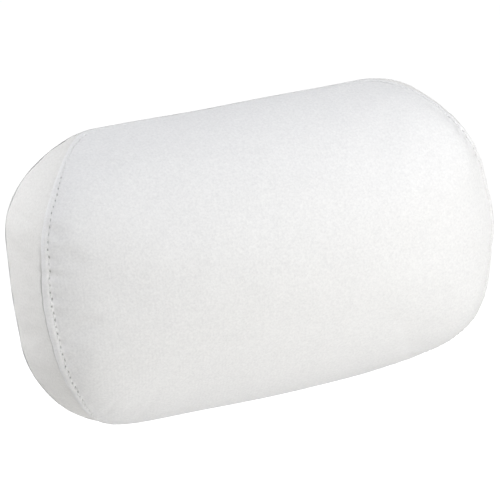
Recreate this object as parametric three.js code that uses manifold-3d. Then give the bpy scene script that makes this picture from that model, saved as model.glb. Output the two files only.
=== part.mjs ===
// A bath pillow on its suction cups: a crowned foam core in a sewn, zipped cover.
// Millimetres, +Z up. The wall that it hangs on is the plane y = 0, and its front faces -Y.
import * as THREE from "three";
import { mergeVertices } from "three/addons/utils/BufferGeometryUtils.js";
import Module from "manifold-3d";

const wasm = await Module();
wasm.setup();

// Driving dimensions of the pillow
const backWidth = 307; // across the back edge, at mid-height
const endFlare = 6; // how far each end leans out from its front seam to the back edge
const pillowHeight = 184;
const pillowThickness = 75; // back panel to crest
const cornerRadius = 59;
const endBow = 7; // how far the ends stand out at mid-height
const bottomBow = 8; // how far the bottom edge sags at the middle
const endPanelDepth = 52; // widest, at mid-height
const endPanelSwell = 3;
const seamPower = 4.1; // higher turns the end seams to the back closer to their tips
const crownPower = 1.85; // higher gives a fuller, squarer crown
const fabricThickness = 1.2;
const gap = 0.3; // between pieces that touch

// The stitching beside the end seams
const stitchOffset = 5.5; // from the seam, along the cloth
const threadWidth = 0.8;
const threadHeight = 0.5;

// The zip across the back
const zipHeight = 0; // above mid-height
const zipSlotLength = 216;
const zipSlotWidth = 11;
const tapeWidth = 14;
const tapeThickness = 0.6;
const tapeOverlap = 5; // past each end of the slot
const rowWidth = 2.6; // one row of teeth with its beaded edge
const rowThickness = 2.2;
const rowSplit = 1; // between the two rows
const rowEndInset = 1; // from the end of the slot
const toothPitch = 3;
const toothWidth = 1.6;
const toothReach = 1.5; // past the beaded edge
const stopLength = 3;
const stopThickness = 0.7;

// The slider, which runs on both rows, and its pull
const sliderLength = 10;
const sliderWidth = 9.4;
const sliderPlate = 1.1;
const sliderFlange = 0.9;
const sliderWeb = 0.4;
const sliderWebLength = 3;
const sliderEase = 0.4; // running clearance
const lugThickness = 1;
const lugSpacing = 3.4; // clear, between the two lugs
const lugLength = 3.6;
const pivotRadius = 0.6;
const pivotHeight = 1.9; // above the slider's outer plate
const pullEase = 0.3;
const pullLength = 24;
const pullWidth = 6;
const pullNeckLength = 4;
const pullThickness = 1.2;
const pullHoleRadius = 1.4;

// The suction cups and the eyelets that hold them
const wallStandoff = 14; // wall to back panel
const cupFromEnd = 59.5; // cup centre to the end of the back
const cupFromEdge = 44; // cup centre to the top or bottom edge
const cupRadius = 21;
const cupLipWidth = 2; // the flat ring that meets the wall
const cupLipThickness = 0.9;
const cupHollowDepth = 5.5;
const cupDomeHeight = 9;
const bossRadius = 8;
const neckRadius = 3.9;
const headRadius = 7.2;
const headHeight = 3.4;
const headRound = 1.7;
const eyeletBore = 4.2;
const eyeletWall = 1;
const eyeletFlangeRadius = 9;
const eyeletFlangeThickness = 0.7;
const eyeletRollWidth = 1.4;
const eyeletRollThickness = 0.5;
const washerThickness = 0.7;
const pocketEase = 1.2;

// How finely the round shapes are cut
const sideSteps = 3;
const cornerSteps = 7;
const edgeSteps = 4;
const quarterSteps = sideSteps + cornerSteps + edgeSteps;
const loopSteps = 4 * quarterSteps;
const lastEndStep = sideSteps + cornerSteps - 1;
const threadSections = 2; // per step
const shareStep = 1 / 400; // how finely the stitching's offset is measured out
const crownShares = [0, 0.012, 0.04, 0.09, 0.17, 0.3, 0.48, 0.72, 1];
const wallShares = [0, 0.35, 0.7, 1];
const domeShares = [1 / 3, 2 / 3, 1];
const hollowShares = [0.45, 0.8];
const cupSegments = 24;
const eyeletSegments = 20;
const pivotSegments = 12;

// Sizes that follow from these
const halfHeight = pillowHeight / 2;
const frontWidth = backWidth - 2 * endFlare;
const halfFront = frontWidth / 2;
const coverInside = fabricThickness + gap;
const cupSpacingX = backWidth - 2 * cupFromEnd;
const cupSpacingZ = pillowHeight - 2 * cupFromEdge;
const cupPlaces = [
  ["upper_left", -1, 1],
  ["upper_right", 1, 1],
  ["lower_left", -1, -1],
  ["lower_right", 1, -1],
];

// Depths of the zip's layers, counted from the back panel's outer face towards the front
const tapeOuter = coverInside;
const tapeInner = tapeOuter + tapeThickness;
const rowInner = tapeOuter - gap;
const rowOuter = rowInner - rowThickness;
const sliderInner = tapeInner + sliderEase;
const sliderOuter = rowOuter - sliderEase;
const pivotDepth = sliderOuter - sliderPlate - pivotHeight;
const rowHalf = rowSplit / 2 + rowWidth;
const rowLength = zipSlotLength - 2 * rowEndInset;
const closedEnd = rowLength / 2 - stopLength - gap - sliderLength / 2;

// Depths at which each cup, its eyelet and the cloth meet
const barrelRadius = eyeletBore + eyeletWall;
const flangeOuter = -gap - eyeletFlangeThickness;
const rollOuter = coverInside + washerThickness + gap;
const rollInner = rollOuter + eyeletRollThickness;
const neckEnd = rollInner + gap;

// Colours and finishes
function material(color, roughness, metalness = 0) {
  return new THREE.MeshStandardMaterial({ color, roughness, metalness });
}
const coverCloth = material("#f2f2f3", 0.85);
const endCloth = material("#efeeec", 0.85);
const threadWhite = material("#e4e4e4", 0.7);
const foamCream = material("#f3ecd6", 0.95);
const zipCloth = material("#f4f4f4", 0.8);
const zipPlastic = material("#fafafa", 0.45);
const nickel = material("#c9c9c7", 0.25, 1);
const clearVinyl = material("#e6ecee", 0.15);

// Geometry helpers

// A closed geometry: shared corners are merged, flat slivers dropped, and the faces turned outwards
function closed(geometry) {
  const bare = geometry.clone();
  bare.deleteAttribute("normal");
  bare.deleteAttribute("uv");
  const merged = mergeVertices(bare);
  const kept = [];
  for (let i = 0; i < merged.index.count; i += 3) {
    const [a, b, c] = [merged.index.getX(i), merged.index.getX(i + 1), merged.index.getX(i + 2)];
    if (a !== b && b !== c && c !== a) kept.push(a, b, c);
  }
  merged.setIndex(kept);
  if (signedVolume(merged) < 0) kept.reverse();
  merged.setIndex(kept);
  merged.computeVertexNormals();
  return merged;
}

function signedVolume(geometry) {
  const place = geometry.attributes.position;
  const corners = [new THREE.Vector3(), new THREE.Vector3(), new THREE.Vector3()];
  let total = 0;
  for (let i = 0; i < geometry.index.count; i += 3) {
    corners.forEach((corner, k) => corner.fromBufferAttribute(place, geometry.index.getX(i + k)));
    total += corners[0].dot(corners[1].cross(corners[2])) / 6;
  }
  return total;
}

// A geometry from a list of triangles, each three points
function fromTriangles(triangles) {
  const geometry = new THREE.BufferGeometry();
  const values = triangles.flat().flatMap((point) => [point.x, point.y, point.z]);
  geometry.setAttribute("position", new THREE.Float32BufferAttribute(values, 3));
  return closed(geometry);
}

// The triangles of a sheet of points, rows by columns, which may run round in a loop
function sheet(rows, loop = false) {
  const triangles = [];
  const columns = rows[0].length;
  for (let r = 0; r + 1 < rows.length; r++) {
    for (let c = 0; c < (loop ? columns : columns - 1); c++) {
      const next = (c + 1) % columns;
      const [a, b, d, e] = [rows[r][c], rows[r][next], rows[r + 1][next], rows[r + 1][c]];
      triangles.push([a, b, d], [a, d, e]);
    }
  }
  return triangles;
}

const flipped = (triangles) => triangles.map(([a, b, c]) => [a, c, b]);

function toSolid(geometry) {
  const mesh = new wasm.Mesh({
    numProp: 3,
    vertProperties: new Float32Array(geometry.attributes.position.array),
    triVerts: new Uint32Array(geometry.index.array),
  });
  return new wasm.Manifold(mesh);
}

function fromSolid(solid) {
  const mesh = solid.getMesh();
  const geometry = new THREE.BufferGeometry();
  geometry.setAttribute("position", new THREE.Float32BufferAttribute(mesh.vertProperties, 3));
  geometry.setIndex([...mesh.triVerts]);
  return geometry;
}

const joined = (parts) => fromSolid(parts.map(toSolid).reduce((all, part) => all.add(part)));

function cut(body, tools) {
  return fromSolid(tools.map(toSolid).reduce((all, tool) => all.subtract(tool), toSolid(body)));
}

// A point of the pillow: depth is counted from the back panel's outer face towards the front
const place = (x, depth, z) => new THREE.Vector3(x, -wallStandoff - depth, z);

// A box between two depths, centred on x and z
function block(x, z, width, height, from, to) {
  const geometry = new THREE.BoxGeometry(width, to - from, height);
  geometry.translate(x, -wallStandoff - (from + to) / 2, z);
  return closed(geometry);
}

// A flat plate between two depths
function plate(shape, from, to, curveSegments) {
  const depth = to - from;
  const geometry = new THREE.ExtrudeGeometry(shape, { depth, bevelEnabled: false, curveSegments });
  geometry.rotateX(Math.PI / 2);
  geometry.translate(0, -wallStandoff - from, 0);
  return closed(geometry);
}

// A turned piece whose axis points at the wall: its profile is [radius, depth] pairs
function turned(profile, segments) {
  const points = profile.map(([radius, depth]) => new THREE.Vector2(radius, -depth));
  const geometry = new THREE.LatheGeometry(points, segments);
  geometry.translate(0, -wallStandoff, 0);
  return closed(geometry);
}

const group = new THREE.Group();

function add(name, geometry, finish, parent = group) {
  const mesh = new THREE.Mesh(geometry, finish);
  mesh.name = name;
  parent.add(mesh);
}

// The pillow's shape

// One quarter of the edge outline, drawn in by an inset, and by a share of the way to the crest.
// The rings stay even near the edge and close on one point at the crest
function quarterPoint(step, share, inset) {
  const b = halfHeight - inset;
  const high = b * (1 - share);
  const wide = halfFront - inset - b * share - (halfFront - halfHeight) * share ** 3;
  const r = (cornerRadius - inset) * (1 - share);
  if (step <= sideSteps) return [wide, ((high - r) * step) / sideSteps];
  if (step <= sideSteps + cornerSteps) {
    const angle = ((step - sideSteps) / cornerSteps) * (Math.PI / 2);
    return [wide - r + r * Math.cos(angle), high - r + r * Math.sin(angle)];
  }
  return [(wide - r) * (1 - (step - sideSteps - cornerSteps) / edgeSteps), high];
}

// The whole outline, from the middle of the right end up and round. A step need not be whole
function outline(step, share, inset) {
  const turn = ((step % loopSteps) + loopSteps) % loopSteps;
  const quarter = Math.floor(turn / quarterSteps);
  const along = turn - quarter * quarterSteps;
  const [x, z] = quarterPoint(quarter % 2 ? quarterSteps - along : along, share, inset);
  return { x: quarter === 1 || quarter === 2 ? -x : x, z: quarter > 1 ? -z : z };
}

// How far in front of the back panel the end seam lies: it meets the back at its two tips
function seamDepth(step) {
  const { z } = outline(step, 0, 0);
  return endPanelDepth * (1 - Math.abs(z / halfHeight) ** seamPower);
}

// The bows of the edge, and the taper from the wide back edge to the front seams
function bowed({ x, z }, depth, share) {
  const fade = 1 - share;
  const taper = 1 + (backWidth / frontWidth - 1) * (1 - depth / endPanelDepth) * fade;
  const drawnIn = endBow * fade * (x / halfFront) * (z / halfHeight) ** 2;
  const sag = z < 0 ? bottomBow * fade * Math.abs(z / halfHeight) * (1 - (x / halfFront) ** 2) : 0;
  return [(x - drawnIn) * taper, z - sag];
}

// A point of the crown: share 0 is the edge or seam, 1 is the crest
function crownPoint(step, share, inset, from) {
  const rise = (1 - (1 - share) ** crownPower) ** (1 / crownPower);
  const depth = from + (pillowThickness - inset - from) * rise;
  const [x, z] = bowed(outline(step, share, inset), Math.min(from, endPanelDepth), share);
  return place(x, depth, z);
}

// A point of the upright wall behind the seam: share 0 is the depth from, 1 is the depth to
function wallPoint(step, share, inset, from, to) {
  const depth = from + (to - from) * share;
  const flat = outline(step, 0, inset);
  const swell = (endPanelSwell * 4 * share * (1 - share) * (to - from)) / endPanelDepth;
  const [x, z] = bowed(flat, depth, 0);
  return place(x + Math.sign(x) * swell, depth, z);
}

const allSteps = Array.from({ length: loopSteps }, (_, step) => step);

// Foam core: one block, with a pocket behind each eyelet and one behind the zip
function foamCore() {
  const back = coverInside;
  const front = (step) => Math.max(seamDepth(step), back);
  const wall = (share) => allSteps.map((step) => wallPoint(step, share, coverInside, back, front(step)));
  const crown = (share) => allSteps.map((step) => crownPoint(step, share, coverInside, front(step)));
  const middle = wall(0).map((point) => new THREE.Vector3(point.x, point.y, 0));
  const rows = [middle, ...wallShares.map(wall), ...crownShares.slice(1).map(crown)];
  const body = fromTriangles(sheet(rows, true));
  const headEnd = neckEnd + headHeight + pocketEase;
  const pocketRadius = eyeletFlangeRadius + pocketEase;
  const pockets = cupPlaces.map(([, sideX, sideZ]) => {
    const pocket = new THREE.CylinderGeometry(pocketRadius, pocketRadius, headEnd, eyeletSegments);
    const halfway = -wallStandoff - headEnd / 2;
    return closed(pocket.translate((sideX * cupSpacingX) / 2, halfway, (sideZ * cupSpacingZ) / 2));
  });
  const zipRoom = zipSlotLength + 2 * (tapeOverlap + pocketEase);
  const zipFloor = sliderInner + sliderPlate + pocketEase;
  const zipPocket = block(0, zipHeight, zipRoom, 2 * (tapeWidth + rowSplit + pocketEase), 0, zipFloor);
  return cut(body, [...pockets, zipPocket]);
}

// Front cover: one cloth over the crown, the top and the bottom, as a shell
function frontCover() {
  const front = (step) => Math.max(seamDepth(step) + gap / 2, coverInside);
  const ring = (share, inset) => allSteps.map((step) => crownPoint(step, share, inset, front(step)));
  const outside = crownShares.map((share) => ring(share, 0));
  const inside = crownShares.map((share) => ring(share, fabricThickness));
  const edge = sheet([inside[0], outside[0]], true);
  return fromTriangles([...sheet(outside, true), ...flipped(sheet(inside, true)), ...edge]);
}

// End panel: the curved side wall, which narrows to a point at its top and bottom
function endPanel(middleStep) {
  const steps = Array.from({ length: 2 * lastEndStep + 1 }, (_, k) => middleStep - lastEndStep + k);
  const front = (step) => seamDepth(step) - gap / 2;
  const skin = (inset) =>
    wallShares.map((share) => steps.map((step) => wallPoint(step, share, inset, coverInside, front(step))));
  const outside = skin(0);
  const inside = skin(fabricThickness);
  const last = outside.length - 1;
  const column = (rows, c) => rows.map((row) => row.at(c));
  return fromTriangles([
    ...sheet(outside),
    ...flipped(sheet(inside)),
    ...sheet([inside[0], outside[0]]),
    ...sheet([outside[last], inside[last]]),
    ...sheet([column(outside, 0), column(inside, 0)]),
    ...sheet([column(inside, -1), column(outside, -1)]),
  ]);
}

// Back panel: half of the flat back, above or below the zip, with a hole for each of its eyelets
function backPanel(side) {
  const turn = (point) => Math.atan2(side * point.z, point.x);
  const edge = allSteps
    .map((step) => wallPoint(step, 0, 0, 0, 0))
    .filter((point) => side * (point.z - zipHeight) > gap)
    .sort((p, q) => turn(q) - turn(p));
  const seamZ = zipHeight + (side * gap) / 2;
  const slotZ = zipHeight + (side * zipSlotWidth) / 2;
  const slotX = zipSlotLength / 2;
  const shape = new THREE.Shape();
  shape.moveTo(-backWidth / 2, seamZ);
  edge.forEach((point) => shape.lineTo(point.x, point.z));
  shape.lineTo(backWidth / 2, seamZ);
  shape.lineTo(slotX, seamZ);
  shape.lineTo(slotX, slotZ);
  shape.lineTo(-slotX, slotZ);
  shape.lineTo(-slotX, seamZ);
  for (const sideX of [-1, 1]) {
    const hole = new THREE.Path();
    hole.absarc((sideX * cupSpacingX) / 2, (side * cupSpacingZ) / 2, barrelRadius + gap, 0, 2 * Math.PI);
    shape.holes.push(hole);
  }
  return plate(shape, 0, fabricThickness, eyeletSegments / 2);
}

// Stitching beside one end seam: its thread, as one flat bead on the front cloth
function topstitch(middleStep) {
  const sections = [];
  for (let step = -lastEndStep; step <= lastEndStep; step += 1 / threadSections) {
    sections.push(threadSection(middleStep + step));
  }
  const [first, last] = [sections[0], sections.at(-1)];
  return fromTriangles([...sheet(sections, true), ...quad(first), ...flipped(quad(last))]);
}

const quad = ([a, b, c, d]) => [
  [a, c, b],
  [a, d, c],
];

// The four corners of the thread's section, square to the seam
function threadSection(step) {
  const { point, across, out } = seamSide(step);
  const top = gap + threadHeight;
  const corner = (side, high) => {
    const beside = point.clone().addScaledVector(across, (side * threadWidth) / 2);
    return beside.addScaledVector(out, high);
  };
  return [corner(-1, gap), corner(1, gap), corner(1, top), corner(-1, top)];
}

// The point of the front cloth where the stitching runs, and the directions across it and outwards
function seamSide(step) {
  const from = seamDepth(step) + gap / 2;
  let share = 0;
  let length = 0;
  let point = crownPoint(step, 0, 0, from);
  while (length < stitchOffset) {
    share += shareStep;
    const next = crownPoint(step, share, 0, from);
    length += next.distanceTo(point);
    point = next;
  }
  const across = crownPoint(step, share + shareStep, 0, from).sub(point).normalize();
  const along = crownPoint(step + shareStep, share, 0, seamDepth(step + shareStep) + gap / 2).sub(point);
  return { point, across, out: along.cross(across).normalize() };
}

// One tape of the zip, behind the edge of the back panel
function zipTape(side) {
  const z = zipHeight + side * (rowSplit / 2 + tapeWidth / 2);
  return block(0, z, zipSlotLength + 2 * tapeOverlap, tapeWidth, tapeOuter, tapeInner);
}

// One row of the zip: a beaded edge with a comb of teeth, set half a pitch on from the other row
function zipTeeth(side) {
  const length = rowLength - 2 * (stopLength + gap);
  const count = Math.floor((length - toothWidth) / toothPitch);
  const tip = rowSplit / 2;
  const root = tip + toothReach;
  const firstTooth = (-count * toothPitch) / 2 + (side * toothPitch) / 4;
  const shape = new THREE.Shape();
  shape.moveTo(length / 2, rowHalf);
  shape.lineTo(-length / 2, rowHalf);
  shape.lineTo(-length / 2, root);
  for (let tooth = 0; tooth < count; tooth++) {
    const x = firstTooth + (tooth + 1 / 2) * toothPitch;
    shape.lineTo(x - toothWidth / 2, root);
    shape.lineTo(x - toothWidth / 2, tip);
    shape.lineTo(x + toothWidth / 2, tip);
    shape.lineTo(x + toothWidth / 2, root);
  }
  shape.lineTo(length / 2, root);
  const comb = plate(shape, rowOuter, rowInner, 1);
  comb.applyMatrix4(new THREE.Matrix4().makeScale(1, 1, side));
  return closed(comb).translate(0, 0, zipHeight);
}

// A stop that closes the end of one row, or of both
function zipStop(x, z, width) {
  return block(x, z, stopLength, width, rowOuter - stopThickness, rowInner);
}

// Slider: an outer plate with flanges over the rows, an inner plate behind the tapes, and a web between
function zipSlider() {
  const outerPlate = sliderOuter - sliderPlate;
  const innerPlate = sliderInner + sliderPlate;
  const flangeZ = (sliderWidth - sliderFlange) / 2;
  const lugZ = (lugSpacing + lugThickness) / 2;
  const lugTop = pivotDepth - lugLength / 2;
  const parts = [
    block(closedEnd, zipHeight, sliderLength, sliderWidth, outerPlate, sliderOuter),
    block(closedEnd, zipHeight, sliderLength, sliderWidth, sliderInner, innerPlate),
    block(closedEnd, zipHeight, sliderWebLength, sliderWeb, outerPlate, innerPlate),
    pivotPin(),
  ];
  for (const side of [-1, 1]) {
    const flange = zipHeight + side * flangeZ;
    const lug = zipHeight + side * lugZ;
    parts.push(block(closedEnd, flange, sliderLength, sliderFlange, outerPlate, rowInner - sliderEase));
    parts.push(block(closedEnd, lug, lugLength, lugThickness, lugTop, sliderOuter));
  }
  return joined(parts);
}

function pivotPin() {
  const length = lugSpacing + lugThickness;
  const geometry = new THREE.CylinderGeometry(pivotRadius, pivotRadius, length, pivotSegments);
  geometry.rotateX(Math.PI / 2);
  geometry.translate(closedEnd, -wallStandoff - pivotDepth, zipHeight);
  return closed(geometry);
}

// Pull: an eye round the slider's pivot, a narrow neck and a long tab with a hole
function zipPull() {
  const eyeRadius = pivotRadius + pullEase + pullThickness / 2;
  const eyeWidth = lugSpacing - 2 * pullEase;
  const neckRun = eyeRadius + pullNeckLength;
  const eye = new THREE.CylinderGeometry(eyeRadius, eyeRadius, eyeWidth, pivotSegments);
  eye.rotateX(Math.PI / 2);
  const neck = new THREE.BoxGeometry(neckRun, pullThickness, eyeWidth);
  neck.translate(-neckRun / 2, 0, 0);
  const boreRadius = pivotRadius + pullEase;
  const bore = new THREE.CylinderGeometry(boreRadius, boreRadius, 2 * eyeWidth, pivotSegments);
  bore.rotateX(Math.PI / 2);
  const tab = new THREE.Shape();
  const half = pullWidth / 2;
  tab.moveTo(-neckRun + pullThickness, -eyeWidth / 2);
  tab.lineTo(-neckRun + pullThickness, eyeWidth / 2);
  tab.lineTo(-neckRun, eyeWidth / 2);
  tab.lineTo(-neckRun - half, half);
  tab.lineTo(half - pullLength, half);
  tab.absarc(half - pullLength, 0, half, Math.PI / 2, (3 * Math.PI) / 2);
  tab.lineTo(-neckRun - half, -half);
  tab.lineTo(-neckRun, -eyeWidth / 2);
  const hole = new THREE.Path();
  hole.absarc(half - pullLength, 0, pullHoleRadius, 0, 2 * Math.PI);
  tab.holes.push(hole);
  const extrusion = { depth: pullThickness, bevelEnabled: false, curveSegments: pivotSegments / 2 };
  const flat = new THREE.ExtrudeGeometry(tab, extrusion);
  flat.rotateX(Math.PI / 2);
  flat.translate(0, pullThickness / 2, 0);
  const whole = cut(joined([eye, neck, flat].map(closed)), [closed(bore)]);
  return whole.translate(closedEnd, -wallStandoff - pivotDepth, zipHeight);
}

// Suction cup: a soft dish with a flat lip, a boss, a neck through the eyelet and a head behind it
function suctionCup() {
  const wall = -wallStandoff;
  const lipInside = cupRadius - cupLipWidth;
  const domeRun = cupRadius - bossRadius;
  const domeRise = cupDomeHeight - cupLipThickness;
  const dome = domeShares.map((share) => [
    cupRadius - domeRun * share,
    wall + cupLipThickness + domeRise * Math.sin((share * Math.PI) / 2),
  ]);
  const hollow = hollowShares.map((share) => [
    lipInside * share,
    wall + cupHollowDepth * Math.cos((share * Math.PI) / 2),
  ]);
  const headEnd = neckEnd + headHeight;
  return turned(
    [
      [0, wall + cupHollowDepth],
      ...hollow,
      [lipInside, wall],
      [cupRadius, wall],
      [cupRadius, wall + cupLipThickness],
      ...dome,
      [bossRadius, flangeOuter - gap],
      [neckRadius, flangeOuter - gap],
      [neckRadius, neckEnd],
      [headRadius, neckEnd],
      [headRadius, headEnd - headRound],
      [headRadius - headRound, headEnd],
      [0, headEnd],
    ],
    cupSegments,
  );
}

// Eyelet: an outer flange, a barrel through the cloth and a rolled rim over its washer
function eyelet() {
  const rollRadius = barrelRadius + eyeletRollWidth;
  return turned(
    [
      [eyeletBore, flangeOuter],
      [eyeletFlangeRadius, flangeOuter],
      [eyeletFlangeRadius, -gap],
      [barrelRadius, -gap],
      [barrelRadius, rollOuter],
      [rollRadius, rollOuter],
      [rollRadius, rollInner],
      [eyeletBore, rollInner],
      [eyeletBore, flangeOuter],
    ],
    eyeletSegments,
  );
}

function washer() {
  const inside = barrelRadius + gap;
  const end = coverInside + washerThickness;
  return turned(
    [
      [inside, coverInside],
      [eyeletFlangeRadius, coverInside],
      [eyeletFlangeRadius, end],
      [inside, end],
      [inside, coverInside],
    ],
    eyeletSegments,
  );
}

// Assembly
const rightEnd = 0;
const leftEnd = loopSteps / 2;
add("foam_core", foamCore(), foamCream);
add("front_cover", frontCover(), coverCloth);
add("end_panel_left", endPanel(leftEnd), endCloth);
add("end_panel_right", endPanel(rightEnd), endCloth);
add("back_panel_upper", backPanel(1), coverCloth);
add("back_panel_lower", backPanel(-1), coverCloth);
add("topstitch_left", topstitch(leftEnd), threadWhite);
add("topstitch_right", topstitch(rightEnd), threadWhite);

const rowZ = (rowSplit + rowWidth) / 2;
const stopX = (rowLength - stopLength) / 2;
add("zip_tape_upper", zipTape(1), zipCloth);
add("zip_tape_lower", zipTape(-1), zipCloth);
add("zip_teeth_upper", zipTeeth(1), zipPlastic);
add("zip_teeth_lower", zipTeeth(-1), zipPlastic);
add("zip_top_stop_upper", zipStop(stopX, zipHeight + rowZ, rowWidth), nickel);
add("zip_top_stop_lower", zipStop(stopX, zipHeight - rowZ, rowWidth), nickel);
add("zip_bottom_stop", zipStop(-stopX, zipHeight, 2 * rowHalf), nickel);
add("zip_slider", zipSlider(), nickel);
add("zip_pull", zipPull(), nickel);

for (const [where, sideX, sideZ] of cupPlaces) {
  const fitting = new THREE.Group();
  fitting.position.set((sideX * cupSpacingX) / 2, 0, (sideZ * cupSpacingZ) / 2);
  group.add(fitting);
  add(`suction_cup_${where}`, suctionCup(), clearVinyl, fitting);
  add(`eyelet_${where}`, eyelet(), nickel, fitting);
  add(`eyelet_washer_${where}`, washer(), nickel, fitting);
}

export default group;
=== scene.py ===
# A bath pillow: a foam core in a sewn white cover that zips up behind and hangs on four suction cups.
# Metres, +Z up. It hangs on the plane y = 0, and its front faces -Y.
import math

import bpy
import numpy as np
from mathutils import Matrix, Vector
from mathutils.geometry import delaunay_2d_cdt
from mathutils.kdtree import KDTree


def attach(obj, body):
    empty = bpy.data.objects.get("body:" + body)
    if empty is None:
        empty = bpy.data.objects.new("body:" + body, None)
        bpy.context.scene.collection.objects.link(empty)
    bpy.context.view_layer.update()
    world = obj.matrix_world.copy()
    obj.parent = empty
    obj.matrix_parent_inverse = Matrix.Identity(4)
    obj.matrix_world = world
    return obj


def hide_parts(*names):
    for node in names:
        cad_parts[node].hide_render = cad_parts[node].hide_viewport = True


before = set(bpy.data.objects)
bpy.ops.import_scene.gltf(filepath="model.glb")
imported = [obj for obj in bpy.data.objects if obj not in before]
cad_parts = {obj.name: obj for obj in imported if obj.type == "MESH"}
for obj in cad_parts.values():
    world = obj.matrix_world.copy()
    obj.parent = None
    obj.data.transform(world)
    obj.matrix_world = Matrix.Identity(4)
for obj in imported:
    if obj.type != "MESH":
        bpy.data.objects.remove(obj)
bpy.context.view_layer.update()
bpy.ops.object.select_all(action="DESELECT")

# Studio. A long lens looks at the pillow from a little above and to the left, over a white floor well
# below it. Large soft lamps stand round it, the strongest above and to the left. A program first fitted the
# camera and the lamps' watts to the photograph.
mm = 0.001
wall_standoff = 14 * mm
view_turn = math.radians(19.86)
view_height = math.radians(14.09)
view_roll = math.radians(6.24)
view_distance = 1.786
focal_length = 203.2
aim_right = 4.88 * mm
aim_up = -2.84 * mm
sensor_width = 36

looking = Vector((math.sin(view_turn) * math.cos(view_height),
                  math.cos(view_turn) * math.cos(view_height),
                  -math.sin(view_height)))
level = Vector((math.cos(view_turn), -math.sin(view_turn), 0))
upright = level.cross(looking)
picture_right = math.cos(view_roll) * level - math.sin(view_roll) * upright
picture_up = math.sin(view_roll) * level + math.cos(view_roll) * upright
pillow_back = Vector((0, -wall_standoff, 0))
aim = pillow_back + aim_right * picture_right + aim_up * picture_up

lens = bpy.data.cameras.new("lens")
lens.lens = focal_length
lens.sensor_width = sensor_width
camera = bpy.data.objects.new("camera", lens)
bpy.context.scene.collection.objects.link(camera)
axes = Matrix((picture_right, picture_up, -looking)).transposed().to_4x4()
camera.matrix_world = Matrix.Translation(aim - view_distance * looking) @ axes
bpy.context.scene.camera = camera
bpy.context.scene.view_settings.view_transform = "Standard"


def linear(code):
    """An sRGB hex colour as linear light."""
    shares = [int(code[k:k + 2], 16) / 255 for k in (1, 3, 5)]
    return [c / 12.92 if c <= 0.04045 else ((c + 0.055) / 1.055) ** 2.4 for c in shares] + [1]


def node(owner, kind, links=None, inputs=None, **settings):
    """Adds a shader node with its settings and input values, and links inputs to other nodes' outputs."""
    tree = owner.node_tree
    new = tree.nodes.new(kind)
    for key, value in settings.items():
        setattr(new, key, value)
    for key, value in (inputs or {}).items():
        new.inputs[key].default_value = value
    for key, source in (links or {}).items():
        origin, output = source if isinstance(source, tuple) else (source, 0)
        tree.links.new(origin.outputs[output], new.inputs[key])
    return new


def new_material(name):
    material = bpy.data.materials.new(name)
    material.use_nodes = True
    material.node_tree.nodes.clear()
    return material


room_light = 0.2
room = bpy.data.worlds.new("white_room")
bpy.context.scene.world = room
room.use_nodes = True
room.node_tree.nodes.clear()
ray = node(room, "ShaderNodeLightPath")
seen = node(room, "ShaderNodeMath", {0: (ray, "Is Camera Ray"), 1: (ray, "Is Glossy Ray")},
            operation="MAXIMUM")
seen = node(room, "ShaderNodeMath", {0: seen, 1: (ray, "Is Transmission Ray")}, operation="MAXIMUM")
soft_fill = node(room, "ShaderNodeBackground", inputs={"Color": linear("#ffffff"), "Strength": room_light})
plain_white = node(room, "ShaderNodeBackground", inputs={"Color": linear("#ffffff"), "Strength": 1})
either = node(room, "ShaderNodeMixShader", {0: seen, 1: soft_fill, 2: plain_white})
node(room, "ShaderNodeOutputWorld", {"Surface": either})

floor_drop, floor_size, floor_behind = 0.5, 16, 3
bpy.ops.mesh.primitive_plane_add(size=floor_size, location=(0, floor_behind, -floor_drop))
floor = bpy.context.object
floor.name = "floor"
bpy.ops.object.transform_apply(location=True)
floor_paint = new_material("matt_white_floor_paint")
ray = node(floor_paint, "ShaderNodeLightPath")
matt = node(floor_paint, "ShaderNodeBsdfDiffuse", inputs={"Color": linear("#e8e8e8")})
lift = node(floor_paint, "ShaderNodeEmission", {"Strength": (ray, "Is Camera Ray")},
            inputs={"Color": linear("#eeeeee")})
both = node(floor_paint, "ShaderNodeAddShader", {0: matt, 1: lift})
node(floor_paint, "ShaderNodeOutputMaterial", {"Surface": both})
floor.data.materials.append(floor_paint)

lamps = {  # place in metres to the right of the pillow, up and towards the lens, then side, watts and colour
    "above": ((0, 1.5, 0.3), 1.2, 3.5, "#fbfcff"),
    "above_left": ((-0.5, 1.2, 0.9), 0.8, 10.2, "#fbfcff"),
    "below_left": ((-1.2, -0.6, 0.4), 0.6, 2.6, "#fffdf7"),
    "near_left": ((-0.5, 0.1, 0), 0.3, 0.61, "#ffffff"),
    "right": ((1.5, 0, 0.3), 1.2, 1.3, "#ffffff"),
    "near_right": ((0.45, 0.1, 0.3), 0.3, 0.92, "#ffffff"),
    "near_below": ((0.3, -0.4, 0.5), 0.4, 1.7, "#fffdf7"),
    "behind": ((0.2, 0.6, -1.5), 0.9, 8, "#ffffff"),
}
for lamp_name, (offset, side, watts, tint) in lamps.items():
    light = bpy.data.lights.new(lamp_name, "AREA")
    light.shape = "SQUARE"
    light.size = side
    light.energy = watts
    light.color = linear(tint)[:3]
    lamp = bpy.data.objects.new(lamp_name, light)
    bpy.context.scene.collection.objects.link(lamp)
    lamp.location = pillow_back + offset[0] * level + offset[1] * upright - offset[2] * looking
    lamp.rotation_euler = (pillow_back - lamp.location).to_track_quat("-Z", "Y").to_euler()

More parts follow.
